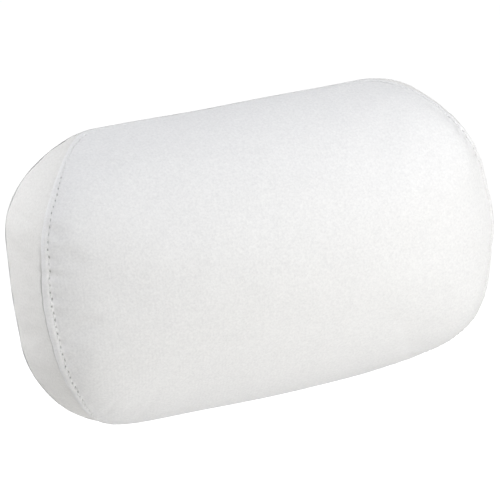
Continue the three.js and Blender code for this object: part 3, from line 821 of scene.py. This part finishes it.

# Topstitching: two-ply white polyester thread, sewn through the turned edge of the front cloth beside each
# end seam. Each stitch lies in the channel and dives into its needle holes.
# Two plies twisted together: white, with a soft sheen, and faint darker lines painted between the plies as
# shade.
thread = new_material("polyester_sewing_thread")
at = node(thread, "ShaderNodeTexCoord")
ply = node(thread, "ShaderNodeTexWave", {"Vector": (at, "Object")}, wave_type="BANDS",
           bands_direction="DIAGONAL", inputs={"Scale": 1 / (2.2 * mm), "Distortion": 0.4})
twist = node(thread, "ShaderNodeBump", {"Height": ply}, inputs={"Strength": 0.4, "Distance": 0.1 * mm})
ply_painted_shade = node(thread, "ShaderNodeMixRGB", {0: (ply, "Fac")},
              inputs={1: linear("#ececec"), 2: linear("#fafafa")})
surface = node(thread, "ShaderNodeBsdfPrincipled", {"Base Color": ply_painted_shade, "Normal": twist},
               inputs={"Roughness": 0.55, "Sheen Weight": 0.2})
node(thread, "ShaderNodeOutputMaterial", {"Surface": surface})

thread_width = 0.75 * mm
thread_flat = 0.72
stitch_dip = 0.55 * mm
stitch_proud = 0.28 * mm
stitch_share = 0.76


def one_stitch(length):
    """A stitch along X that stands up along Z, its ends bent down into the cloth."""
    bpy.ops.mesh.primitive_uv_sphere_add(segments=8, ring_count=8, radius=0.5, location=(0, 0, 0),
                                         rotation=(0, math.pi / 2, 0))
    stitch = bpy.context.object
    bpy.ops.object.transform_apply(rotation=True)
    for v in stitch.data.vertices:
        along = max(-1, min(1, 2 * v.co.x))
        girth = (1 - along ** 6) ** 0.5 if abs(along) < 1 else 0
        ring = math.hypot(v.co.y, v.co.z) or 1
        v.co.y = v.co.y / ring * girth * thread_width / 2
        v.co.z = v.co.z / ring * girth * thread_width / 2 * thread_flat
        v.co.x = along * length / 2
        v.co.z -= stitch_dip * along ** 4
    return stitch


def copied(name, pattern, matrix):
    """A copy of a pattern, moved by a matrix within its own mesh."""
    copy = bpy.data.objects.new(name, pattern.data.copy())
    copy.data.transform(matrix)
    bpy.context.scene.collection.objects.link(copy)
    return copy


def row_of(name, pattern, matrices, *others):
    """Copies of a pattern, one for each matrix, joined in one piece with any others."""
    copies = [copied(name, pattern, matrix) for matrix in matrices]
    bpy.data.objects.remove(pattern)
    choose(*copies, *others)
    bpy.ops.object.join()
    return copies[0]


def sewn(name, places, length):
    """A stitch at each place, along and up direction, all in one piece."""
    matrices = []
    for place, along, up in places:
        across = np.cross(up, along)
        matrix = Matrix([list(row) for row in np.stack([along, across, up], 1)]).to_4x4()
        matrix.translation = Vector(place)
        matrices.append(matrix)
    made = row_of(name, one_stitch(length), matrices)
    made.data.materials.append(thread)
    return done(made)


stitch_row = int(np.argmin(np.abs(near_lengths - stitch_offset)))
half_stitch = columns_per_stitch // 2
left_start = len(end_steps) + len(edge_run)
for side, first, name, cad_name in ((1, 0, "topstitching_right", "topstitch_right"),
                                    (-1, left_start, "topstitching_left", "topstitch_left")):
    places = []
    for k in range(stitch_count):
        c = first + k * columns_per_stitch + half_stitch
        along = grid_front[stitch_row, c + 2] - grid_front[stitch_row, c - 2]
        along /= np.linalg.norm(along)
        up = out_front[stitch_row, c] - along * np.dot(out_front[stitch_row, c], along)
        up /= np.linalg.norm(up)
        places.append((raised_front[stitch_row, c] + up * stitch_proud, along, up))
    belongs(sewn(name, places, stitch_pitch * stitch_share), "pillow", "thread", cad_name)

# Back panels: two flat pieces of the cover cloth, above and below the zip and sewn together beyond its ends.
# Their edges are turned in along the zip, and the cloth is drawn tight round every eyelet.
slot_half = (108 * mm, 5.5 * mm)
hole_radius = 5.5 * mm
zip_sewing = (111.5 * mm, 8.7 * mm)
back_bulge = 2.2 * mm
bulge_rim, bulge_eye, bulge_zip = 14 * mm, 17 * mm, 22 * mm
hem_rise = 0.45 * mm
seam_gap = 0.06 * mm
zip_stitch = 3 * mm
sewing_sink, needle_sink = 0.3 * mm, 0.4 * mm
flat_beside_zip = 9 * mm
gather_height = 0.3 * mm
eye_gather_height, eye_gather_radius = 0.16 * mm, 11.5 * mm
eye_rings = (6.2, 7.4, 9, 9.8, 11, 12.5, 14.5, 17, 20)
edge_insets = (0.12, 0.3, 0.6, 1.1, 1.9, 3)
zip_rows = (7.9, 8.4, 8.7, 9, 9.5, 10.4)


def along_line(corners, spacing):
    """Points along straight runs between corners, at about the spacing, without the last corner."""
    made = []
    for start, end in zip(corners, corners[1:]):
        count = max(1, round(math.dist(start, end) / spacing))
        made += [np.add(np.multiply(start, 1 - k / count), np.multiply(end, k / count)) for k in range(count)]
    return np.array(made)


def loop_distance(points, loop):
    """The distance of each point from a closed line."""
    best = np.full(len(points), np.inf)
    for a, b in zip(loop, np.roll(loop, -1, 0)):
        run = b - a
        t = np.clip(((points - a) @ run) / max(run @ run, 1e-18), 0, 1)
        best = np.minimum(best, np.linalg.norm(points - a - t[:, None] * run, axis=1))
    return best


def inside_loop(points, loop):
    """Which points lie inside a closed line."""
    inside = np.zeros(len(points), bool)
    for a, b in zip(loop, np.roll(loop, -1, 0)):
        if a[1] == b[1]:
            continue
        crossing = (a[1] > points[:, 1]) != (b[1] > points[:, 1])
        x = a[0] + (points[:, 1] - a[1]) * (b[0] - a[0]) / (b[1] - a[1])
        inside ^= crossing & (points[:, 0] < x)
    return inside


def clear_of(points, eyes, radius):
    """The points that lie farther than a radius from every eyelet."""
    for eye in eyes:
        points = points[np.linalg.norm(points - eye, axis=1) > radius]
    return points


def panel_edge(half):
    """The closed edge of one half of the back: the seam, the cut for the zip and the rim."""
    rim = wall_point(np.linspace(0, loop_steps / 2, 241) * half, 0, 0, 0, 0)[:, [0, 2]]
    right_end, left_end = rim[0, 0], rim[-1, 0]
    seam = half * seam_gap / 2
    slot_x, slot_z = slot_half[0], half * slot_half[1]
    corners = [(left_end, seam), (-slot_x, seam), (-slot_x, slot_z), (slot_x, slot_z), (slot_x, seam),
               (right_end, seam)]
    return np.concatenate([along_line(corners, 1.5 * mm), corners[-1:], rim[np.abs(rim[:, 1]) > gap / 2]])


def panel_points(edge, eyes, circle, half):
    """Points inside the edge: rings round the eyelets, rows beside the edge and the zip, and a lattice."""
    inner = [eye + radius * mm * circle for eye in eyes for radius in eye_rings]
    step = np.roll(edge, -1, 0) - np.roll(edge, 1, 0)
    normal = np.stack([-step[:, 1], step[:, 0]], 1) / np.linalg.norm(step, axis=1, keepdims=True)
    probe = inside_loop(edge + normal * 0.2 * mm, edge)
    normal = normal * (1 if probe.mean() > 0.5 else -1)
    for inset in edge_insets:
        row = edge + normal * inset * mm
        inner.append(row[loop_distance(row, edge) > 0.93 * inset * mm])
    for z in zip_rows:
        x = np.arange(-113, 113.1, 0.75) * mm
        inner.append(np.stack([x, 0 * x + half * z * mm], 1))
    lattice = np.array([(x + (k % 2) * 1.6 * mm, k * 2.8 * mm) for k in range(-36, 37)
                        for x in np.arange(-156, 156, 3.2) * mm])
    lattice = lattice[inside_loop(lattice, edge)]
    beside_zip = (np.abs(lattice[:, 1]) <= 11 * mm) & (np.abs(lattice[:, 0]) <= 116 * mm)
    lattice = lattice[(loop_distance(lattice, edge) > 4.2 * mm) & ~beside_zip]
    points = np.concatenate(inner + [clear_of(lattice, eyes, 21.5 * mm)])
    return clear_of(points[inside_loop(points, edge)], eyes, hole_radius + 0.3 * mm)


def panel_rise(places, edge, eyes):
    """How far the cloth stands out behind its flat pattern: it swells between the seams, and is drawn down
    at the hem, the stitches and the eyelets."""
    x, z = places[:, 0], places[:, 1]
    rim_far = loop_distance(places, edge)
    bulge = back_bulge * (1 - np.exp(-(rim_far / bulge_rim) ** 2))
    rise = 0 * x
    for eye in eyes:
        far = np.linalg.norm(places - eye, axis=1)
        angle = np.arctan2(z - eye[1], x - eye[0])
        bulge = bulge * (1 - np.exp(-((far / bulge_eye) ** 3)))
        gather = np.cos(9 * angle + eye[0] * 40) + 0.6 * np.cos(5 * angle + 1)
        ring = np.exp(-((far - eye_gather_radius) / (3.5 * mm)) ** 2) * (far > 9 * mm)
        rise = rise + eye_gather_height * ring * gather
    bulge = bulge * np.clip((np.abs(z) - flat_beside_zip) / bulge_zip, 0, 1) ** 0.8
    turn_x, turn_z = 2 * math.pi * x, 2 * math.pi * z
    gathers = np.sin(turn_x / (26 * mm) + 1.3) * np.cos(turn_z / (23 * mm))
    gathers = gathers + 0.6 * np.sin((turn_x - turn_z) / (19 * mm))
    from_zip = np.maximum(np.abs(z) - 12 * mm, np.abs(x) - zip_sewing[0] - 3 * mm)
    from_zip = np.clip(from_zip / (8 * mm), 0, 1)
    rise = rise + gather_height * from_zip * gathers * np.exp(-(rim_far / (9 * mm)) ** 2)
    hem = (np.abs(x) < zip_sewing[0] + 2 * mm) * \
        np.exp(-(np.maximum(np.abs(z) - 7 * mm, 0) / (1.2 * mm)) ** 4)
    sewn_away = np.abs(np.abs(z) - zip_sewing[1])
    phase = x / zip_stitch - np.round(x / zip_stitch)
    needles = np.exp(-(sewn_away / (0.45 * mm)) ** 2 - (phase * zip_stitch / (0.6 * mm)) ** 2)
    along_zip = np.abs(x) < zip_sewing[0]
    sewing = sewing_sink * np.exp(-(sewn_away / (0.8 * mm)) ** 2) + needle_sink * needles
    return rise + bulge + hem_rise * hem - fold(rim_far) - along_zip * sewing


def back_panel(name, cad_name, half):
    """One half of the back: half is 1 above the zip and -1 below it."""
    turn = np.linspace(0, 2 * math.pi, 49)[:-1]
    circle = np.stack([np.cos(turn), np.sin(turn)], 1)
    eyes = [np.array([side * cup_x, half * cup_z]) for side in (-1, 1)]
    edge = panel_edge(half)
    borders = [edge] + [eye + hole_radius * circle for eye in eyes]
    rings, start = [], 0
    for border in borders:
        rings.append(list(range(start, start + len(border))))
        start += len(border)
    flat_points = np.concatenate(borders + [panel_points(edge, eyes, circle, half)]) / mm
    lines = [(ring[k], ring[(k + 1) % len(ring)]) for ring in rings for k in range(len(ring))]
    verts, _, faces, origin, _, _ = delaunay_2d_cdt([Vector(p) for p in flat_points], lines, [], 1, 1e-5)
    places = np.array([v[:] for v in verts]) * mm
    centres = np.array([places[list(face)].mean(0) for face in faces])
    keep = inside_loop(centres, edge)
    for eye in eyes:
        keep &= np.linalg.norm(centres - eye, axis=1) > hole_radius * 0.998
    faces = [face for face, wanted in zip(faces, keep) if wanted]
    where = {source: k for k, sources in enumerate(origin) for source in sources}
    outer = placed(places[:, 0], -panel_rise(places, edge, eyes), places[:, 1])
    inside = placed(places[:, 0], cloth_thickness, places[:, 1])
    panel = Patch(loop=True)
    first = [v for _, v in panel.row(range(len(outer)), outer, places)]
    second = [v for _, v in panel.row(range(len(outer)), inside, places)]
    panel.faces += [[first[v] for v in face] for face in faces]
    panel.faces += [[second[v] for v in face][::-1] for face in faces]
    for a, b in lines:
        panel.faces.append([first[where[a]], first[where[b]], second[where[b]], second[where[a]]])
    made = panel.made(name, cover_cloth)
    belongs(made, "pillow", "cover_cloth", cad_name)


back_panel("back_cloth_upper", "back_panel_upper", 1)
back_panel("back_cloth_lower", "back_panel_lower", -1)

# Zip sewing: one line of the same thread all round the zip, through the turned edges and the tapes.
places = []
toward_wall = np.array([0, 1.0, 0])
for half in (-1, 1):
    for k in range(-37, 37):
        places.append(((k + 0.5) * zip_stitch, half * zip_sewing[1], (1.0, 0, 0)))
for side in (-1, 1):
    for k in range(-3, 3):
        places.append((side * zip_sewing[0], (k + 0.5) * 2.9 * mm, (0, 0, 1.0)))
belongs(sewn("zip_sewing", [(placed(x, -0.25 * mm, z), np.array(way), toward_wall) for x, z, way in places],
             zip_stitch * 0.86), "pillow", "thread")

# Zip tapes: woven white polyester tape, one behind each turned edge, with a cord woven into its inner edge.
tape_width, tape_thickness = 14 * mm, 0.6 * mm
tape_length = 226 * mm
row_split = 1 * mm

# Closely woven polyester tape: matt white, with fine ribs and a little shade painted between them.
tape_weave = new_material("woven_polyester_zip_tape")
at = node(tape_weave, "ShaderNodeTexCoord")
ribs = node(tape_weave, "ShaderNodeTexWave", {"Vector": (at, "Object")}, wave_type="BANDS",
            bands_direction="X", inputs={"Scale": 1 / (4 * mm), "Distortion": 2, "Detail Scale": 2})
rib_painted_shade = node(tape_weave, "ShaderNodeMixRGB", {0: (ribs, "Fac")},
                inputs={1: linear("#e6e6e6"), 2: linear("#f6f6f6")})
rib_bump = node(tape_weave, "ShaderNodeBump", {"Height": (ribs, "Fac")},
                inputs={"Strength": 0.5, "Distance": 0.15 * mm})
surface = node(tape_weave, "ShaderNodeBsdfPrincipled", {"Base Color": rib_painted_shade, "Normal": rib_bump},
               inputs={"Roughness": 0.8, "Sheen Weight": 0.15})
node(tape_weave, "ShaderNodeOutputMaterial", {"Surface": surface})


def bevelled_block(name, centre, size, bevel, segments=2):
    """A block with rounded edges: x, depth and z of its centre, then its width, depth and height."""
    bpy.ops.mesh.primitive_cube_add(size=1, location=placed(*centre), scale=size)
    made = bpy.context.object
    made.name = made.data.name = name
    bpy.ops.object.transform_apply(location=True, scale=True)
    applied(made, "BEVEL", width=bevel, segments=segments, limit_method="ANGLE")
    return made


for half, name, cad_name in ((1, "tape_upper", "zip_tape_upper"), (-1, "tape_lower", "zip_tape_lower")):
    middle_z = half * (row_split + tape_width) / 2
    tape = bevelled_block(name, (0, cover_inside + tape_thickness / 2, middle_z),
                          (tape_length, tape_thickness, tape_width), 0.18 * mm)
    edit(tape)
    bpy.ops.mesh.subdivide(number_cuts=5)
    bpy.ops.object.mode_set(mode="OBJECT")
    tape.data.materials.append(tape_weave)
    done(tape, 40)
    belongs(tape, "pillow", "zip_tape", cad_name)

# Zip teeth: white acetal, moulded one by one onto the corded edge of each tape. Each tooth has a waist and
# a wider head, and the two rows stand half a pitch apart.
tooth_pitch = 3 * mm
tooth_count = 68
row_outer, row_inner = -1 * mm, 1.2 * mm
row_length = 207.4 * mm

# Moulded acetal: hard and white, with a waxy gloss that the flow of the plastic makes slightly uneven.
acetal = new_material("moulded_white_acetal")
at = node(acetal, "ShaderNodeTexCoord")
flow = node(acetal, "ShaderNodeTexNoise", {"Vector": (at, "Object")},
            inputs={"Scale": 1 / (1.5 * mm), "Detail": 2})
flow_tone = node(acetal, "ShaderNodeMixRGB", {0: (flow, "Fac")},
                 inputs={1: linear("#f0f0ef"), 2: linear("#fbfbfb")})
flow_bump = node(acetal, "ShaderNodeBump", {"Height": (flow, "Fac")},
                 inputs={"Strength": 0.15, "Distance": 0.05 * mm})
surface = node(acetal, "ShaderNodeBsdfPrincipled", {"Base Color": flow_tone, "Normal": flow_bump},
               inputs={"Roughness": 0.38, "IOR": 1.48})
node(acetal, "ShaderNodeOutputMaterial", {"Surface": surface})


def select_faces(obj, test):
    """In edit mode, selects the faces whose centre passes a test, and no others."""
    bpy.ops.mesh.select_all(action="DESELECT")
    bpy.ops.object.mode_set(mode="OBJECT")
    for face in obj.data.polygons:
        face.select = test(face)
    bpy.ops.object.mode_set(mode="EDIT")
    bpy.ops.mesh.select_mode(type="FACE")


def one_tooth(half):
    """A tooth at x = 0: root on the cord, a narrower waist and a rounded head towards the other row."""
    middle = (row_outer + row_inner) / 2
    bpy.ops.mesh.primitive_cube_add(size=1, location=placed(0, middle, half * 2.6 * mm),
                                    scale=(1.9 * mm, row_inner - row_outer, 1 * mm))
    tooth = bpy.context.object
    bpy.ops.object.transform_apply(location=True, scale=True)
    edit(tooth)
    tip = 2.1 * mm
    for reach, widen in ((0.3, 0.68), (0.5, 1.0), (0.35, 1.18), (0.45, 0.96), (0.18, 0.55)):
        end = tip + 0.01 * mm
        select_faces(tooth, lambda face: half * face.normal.z < -0.9 and half * face.center.z < end)
        bpy.ops.mesh.extrude_region_move(TRANSFORM_OT_translate={"value": (0, 0, -half * reach * mm)})
        tip -= reach * mm
        spot = placed(0, middle, half * tip)
        bpy.ops.transform.resize(value=(widen, 0.97, 1), center_override=tuple(spot))
    bpy.ops.object.mode_set(mode="OBJECT")
    return applied(tooth, "BEVEL", width=0.14 * mm, segments=1, limit_method="ANGLE",
                   angle_limit=math.radians(40))


for half, name, cad_name in ((1, "teeth_upper", "zip_teeth_upper"), (-1, "teeth_lower", "zip_teeth_lower")):
    tooth = one_tooth(half)
    slides = [Matrix.Translation(((k + 0.5 - tooth_count / 2) * tooth_pitch + half * tooth_pitch / 4, 0, 0))
              for k in range(tooth_count)]
    bpy.ops.mesh.primitive_cylinder_add(vertices=12, radius=0.62 * mm, depth=row_length,
                                        location=placed(0, 0.55 * mm, half * 2.45 * mm),
                                        rotation=(0, math.pi / 2, 0))
    cord_edge = bpy.context.object
    bpy.ops.object.transform_apply(location=True, rotation=True)
    teeth = row_of(name, tooth, slides, cord_edge)
    teeth.data.materials.append(acetal)
    done(teeth, 35)
    belongs(teeth, "pillow", "zip_teeth", cad_name)

# Zip stops, slider and pull: die-cast zinc with a satin nickel plating. The slider's two plates close round
# the rows, and its pull swings on a pin between two lugs.
stop_length = 3 * mm
zip_length = 214 * mm
stop_x = (zip_length - stop_length) / 2
stop_outer = row_outer - 0.7 * mm


def clouded(name, grain, detail, gloss, relief, reach, **surface):
    """A smooth material whose roughness and relief waver with one soft noise."""
    material = new_material(name)
    at = node(material, "ShaderNodeTexCoord")
    noise = node(material, "ShaderNodeTexNoise", {"Vector": (at, "Object")},
                 inputs={"Scale": 1 / grain, "Detail": detail})
    rough = node(material, "ShaderNodeMapRange", {"Value": (noise, "Fac")},
                 inputs={"To Min": gloss[0], "To Max": gloss[1]})
    bump = node(material, "ShaderNodeBump", {"Height": (noise, "Fac")},
                inputs={"Strength": relief, "Distance": reach})
    shader = node(material, "ShaderNodeBsdfPrincipled", {"Roughness": rough, "Normal": bump},
                  inputs={key.replace("_", " "): value for key, value in surface.items()})
    node(material, "ShaderNodeOutputMaterial", {"Surface": shader})
    return material


# Satin nickel plating: a warm grey metal whose highlights are blurred and slightly uneven.
nickel = clouded("satin_nickel_plated_zinc", 0.8 * mm, 3, (0.2, 0.38), 0.12, 0.05 * mm,
                 Base_Color=linear("#cfccc6"), Metallic=1)

stops = (("top_stop_upper", "zip_top_stop_upper", stop_x, 1.8 * mm, 2.6 * mm),
         ("top_stop_lower", "zip_top_stop_lower", stop_x, -1.8 * mm, 2.6 * mm),
         ("bottom_stop", "zip_bottom_stop", -stop_x, 0, 6.2 * mm))
for name, cad_name, x, z, height in stops:
    stop = bevelled_block(name, (x, (stop_outer + row_inner) / 2, z),
                          (stop_length, row_inner - stop_outer, height), 0.35 * mm, 3)
    edit(stop)
    select_faces(stop, lambda face: face.normal.y > 0.95)
    bpy.ops.mesh.inset(thickness=0.35 * mm, depth=-0.25 * mm)
    bpy.ops.object.mode_set(mode="OBJECT")
    stop.data.materials.append(nickel)
    done(stop, 35)
    belongs(stop, "pillow", "zip_metal", cad_name)

slider_x = 98.7 * mm
slider_length, slider_width = 10 * mm, 9.4 * mm
nose_taper = 0.16
outer_plate = (-2.5 * mm, -1.4 * mm)
inner_plate = (2.5 * mm, 3.6 * mm)
pivot_depth = -4.4 * mm
pivot_radius = 0.6 * mm
pull_thickness = 1.2 * mm


def slider_plate(name, depths):
    """A plate whose far end is drawn in to a blunt nose, with rounded edges."""
    middle = sum(depths) / 2
    bpy.ops.mesh.primitive_cube_add(size=1, location=placed(slider_x, middle, 0),
                                    scale=(slider_length, depths[1] - depths[0], slider_width))
    plate = bpy.context.object
    plate.name = name
    bpy.ops.object.transform_apply(location=True, scale=True)
    edit(plate)
    bpy.ops.mesh.subdivide(number_cuts=3)
    bpy.ops.object.mode_set(mode="OBJECT")
    for v in plate.data.vertices:
        reach = (v.co.x - slider_x) / (slider_length / 2)
        v.co.z *= 1 - nose_taper * max(0, -reach) ** 2 - 0.08 * max(0, reach) ** 4
    return applied(plate, "BEVEL", width=0.3 * mm, segments=3, limit_method="ANGLE",
                   angle_limit=math.radians(50))


def united(target, others):
    """Unites solid pieces into one closed piece."""
    for other in others:
        applied(target, "BOOLEAN", operation="UNION", object=other, solver="EXACT")
        bpy.data.objects.remove(other)


slider = slider_plate("slider", outer_plate)
fittings = [slider_plate("inner_plate", inner_plate),
            bevelled_block("web", (slider_x, 0.55 * mm, 0), (3 * mm, 5 * mm, 0.4 * mm), 0.1 * mm)]
for half in (-1, 1):
    fittings.append(bevelled_block("flange", (slider_x, -0.75 * mm, half * 4.2 * mm),
                                   (8.4 * mm, 3 * mm, 0.85 * mm), 0.2 * mm))
    fittings.append(bevelled_block("lug", (slider_x, -3.9 * mm, half * 2.2 * mm),
                                   (3.6 * mm, 4.2 * mm, 1 * mm), 0.4 * mm, 3))
bpy.ops.mesh.primitive_cylinder_add(vertices=24, radius=pivot_radius, depth=5 * mm,
                                    location=placed(slider_x, pivot_depth, 0))
pin = bpy.context.object
applied(pin, "BEVEL", width=0.15 * mm, segments=2, limit_method="ANGLE")
fittings.append(pin)
united(slider, fittings)
slider.data.materials.append(nickel)
done(slider, 35)
belongs(slider, "slider", "zip_metal", "zip_slider")

bore_radius = pivot_radius + 0.3 * mm
eye_radius = bore_radius + pull_thickness / 2
eye_width = 2.8 * mm
neck_reach, neck_overlap = 4 * mm, 0.8 * mm
pull_length, pull_width = 24 * mm, 6 * mm
tab_hole_radius = 1.4 * mm
bpy.ops.mesh.primitive_cylinder_add(vertices=32, radius=eye_radius, depth=eye_width,
                                    location=placed(slider_x, pivot_depth, 0))
pull = bpy.context.object
pull.name = "pull"
bpy.ops.object.transform_apply(location=True)
neck_end = slider_x - eye_radius - neck_reach
neck = bevelled_block("neck", ((slider_x + neck_end - neck_overlap) / 2, pivot_depth, 0),
                      (slider_x - neck_end + neck_overlap, pull_thickness, eye_width), 0.25 * mm)
tab_end = slider_x - pull_length
tab = bevelled_block("tab", ((neck_end + tab_end) / 2, pivot_depth, 0),
                     (neck_end - tab_end, pull_thickness, pull_width), 0.3 * mm, 3)
edit(tab)
bpy.ops.mesh.subdivide(number_cuts=4)
bpy.ops.object.mode_set(mode="OBJECT")
for v in tab.data.vertices:
    from_end = (v.co.x - tab_end) / (pull_width / 2)
    from_neck = (neck_end - v.co.x) / (pull_width / 2)
    ends = [math.sqrt(max(0.05, 1 - max(0, 1 - from_end) ** 2)), min(1, 0.48 + 0.6 * max(0, from_neck))]
    v.co.z *= min(ends)
united(pull, [neck, tab])
bpy.ops.mesh.primitive_cylinder_add(vertices=32, radius=bore_radius, depth=2 * eye_width,
                                    location=placed(slider_x, pivot_depth, 0))
cut(pull, bpy.context.object)
bpy.ops.mesh.primitive_cylinder_add(vertices=32, radius=tab_hole_radius, depth=pull_width,
                                    location=placed(tab_end + pull_width / 2, pivot_depth, 0),
                                    rotation=(math.pi / 2, 0, 0))
cut(pull, bpy.context.object)
pull.data.materials.append(nickel)
done(pull, 35)
belongs(pull, "pull", "zip_metal", "zip_pull")

# Eyelets and washers: nickel-plated steel, one pair for each suction cup. The eyelet's flange presses on the
# back cloth, and its barrel is rolled over the washer behind the cloth.
# Bright nickel plating on steel: a clear grey mirror, faintly rubbed.
steel = clouded("nickel_plated_steel", 1.6 * mm, 4, (0.12, 0.28), 0.08, 0.05 * mm,
                Base_Color=linear("#d3d1cd"), Metallic=1)


def spun(name, profile, steps, smooth=35):
    """A turned piece round the depth axis: its profile of radius and depth pairs, in millimetres, is drawn by
    extruding a point and spun once round."""
    bpy.ops.mesh.primitive_plane_add(size=1 * mm, location=(0, 0, 0))
    made = bpy.context.object
    made.name = made.data.name = name
    edit(made)
    bpy.ops.mesh.select_mode(type="VERT")
    bpy.ops.mesh.select_all(action="SELECT")
    bpy.ops.mesh.merge(type="CENTER")
    radius, depth = profile[0]
    bpy.ops.transform.translate(value=placed(radius * mm, depth * mm, 0))
    for (r0, d0), (r1, d1) in zip(profile, profile[1:]):
        step = (r1 - r0) * mm, (d0 - d1) * mm, 0
        bpy.ops.mesh.extrude_region_move(TRANSFORM_OT_translate={"value": step})
    bpy.ops.mesh.select_all(action="SELECT")
    bpy.ops.mesh.spin(steps=steps, angle=2 * math.pi, center=(0, 0, 0), axis=(0, 1, 0))
    bpy.ops.mesh.select_all(action="SELECT")
    bpy.ops.mesh.remove_doubles(threshold=0.01 * mm)
    bpy.ops.mesh.normals_make_consistent(inside=False)
    return done(made, smooth)


eyelet_profile = [(4.2, 2.6), (4.2, -0.5), (4.35, -0.85), (4.8, -1.08), (5.6, -1.16), (7.2, -1.1),
                  (8.4, -0.9), (8.85, -0.7), (9, -0.45), (8.9, -0.3), (5.6, -0.3), (5.2, -0.1), (5.2, 2.3),
                  (5.35, 2.5), (6.3, 2.5), (6.6, 2.7), (6.5, 2.92), (6, 3), (4.9, 3), (4.4, 2.9), (4.2, 2.6)]
washer_profile = [(5.5, 1.55), (5.55, 1.5), (8.9, 1.5), (9, 1.6), (9, 2.1), (8.9, 2.2), (5.6, 2.2),
                  (5.5, 2.1), (5.5, 1.55)]
eyelet = spun("eyelet", eyelet_profile, 48)
washer = spun("washer", washer_profile, 48)

# Suction cups: soft clear vinyl, moulded in one piece. A thin dish with a flat lip grips the wall, and a
# mushroom head behind it is pushed through the eyelet and holds there.
# Clear vinyl with plasticiser: it shows what lies behind it, with a slight blue-grey tint and a soft gloss.
vinyl = clouded("clear_soft_vinyl", 9 * mm, 2, (0.08, 0.2), 0.1, 0.2 * mm,
                Base_Color=linear("#e9f1f3"), Transmission_Weight=0.82, IOR=1.5)

wall = -14
cup_profile = [(0, wall + 5.5), (3, wall + 5.42), (6, wall + 5.05), (9, wall + 4.35), (12, wall + 3.3),
               (14.6, wall + 2.15), (16.8, wall + 1.05), (18.2, wall + 0.35), (19, wall), (20.6, wall),
               (20.95, wall + 0.15), (21, wall + 0.45), (20.8, wall + 0.8), (20.2, wall + 1.15),
               (19, wall + 2), (17.4, wall + 3.3), (16.6, wall + 3.95), (16.2, wall + 4.45),
               (15.6, wall + 4.75), (14.8, wall + 5.05), (13.3, wall + 6.2), (12.4, wall + 6.85),
               (12, wall + 7.3), (11.4, wall + 7.55), (10.6, wall + 7.85), (9.3, wall + 8.55),
               (8.4, wall + 9.3), (8, wall + 10.2), (8, -2), (7.8, -1.55), (7.3, -1.3), (4.6, -1.3),
               (4.1, -1.15), (3.9, -0.7), (3.9, 3.1), (4.05, 3.3), (6.6, 3.3), (7.05, 3.5), (7.2, 3.9),
               (7.1, 4.5), (6.6, 5.3), (5.6, 6), (4.2, 6.45), (2.2, 6.66), (0, 6.7)]
cup = spun("cup", cup_profile, 64)
for where, side, half in (("upper_left", -1, 1), ("upper_right", 1, 1), ("lower_left", -1, -1),
                          ("lower_right", 1, -1)):
    for pattern, name, cad_name, body, slot_name, paint in (
            (cup, "cup_" + where, "suction_cup_" + where, "cup_" + where, "cup_vinyl", vinyl),
            (eyelet, "flanged_eyelet_" + where, "eyelet_" + where, "pillow", "eyelet_metal", steel),
            (washer, "washer_" + where, "eyelet_washer_" + where, "pillow", "eyelet_metal", steel)):
        copy = copied(name, pattern, Matrix.Translation((side * cup_x, 0, half * cup_z)))
        copy.data.materials.append(paint)
        belongs(copy, body, slot_name, cad_name)
for pattern in (cup, eyelet, washer):
    bpy.data.objects.remove(pattern)
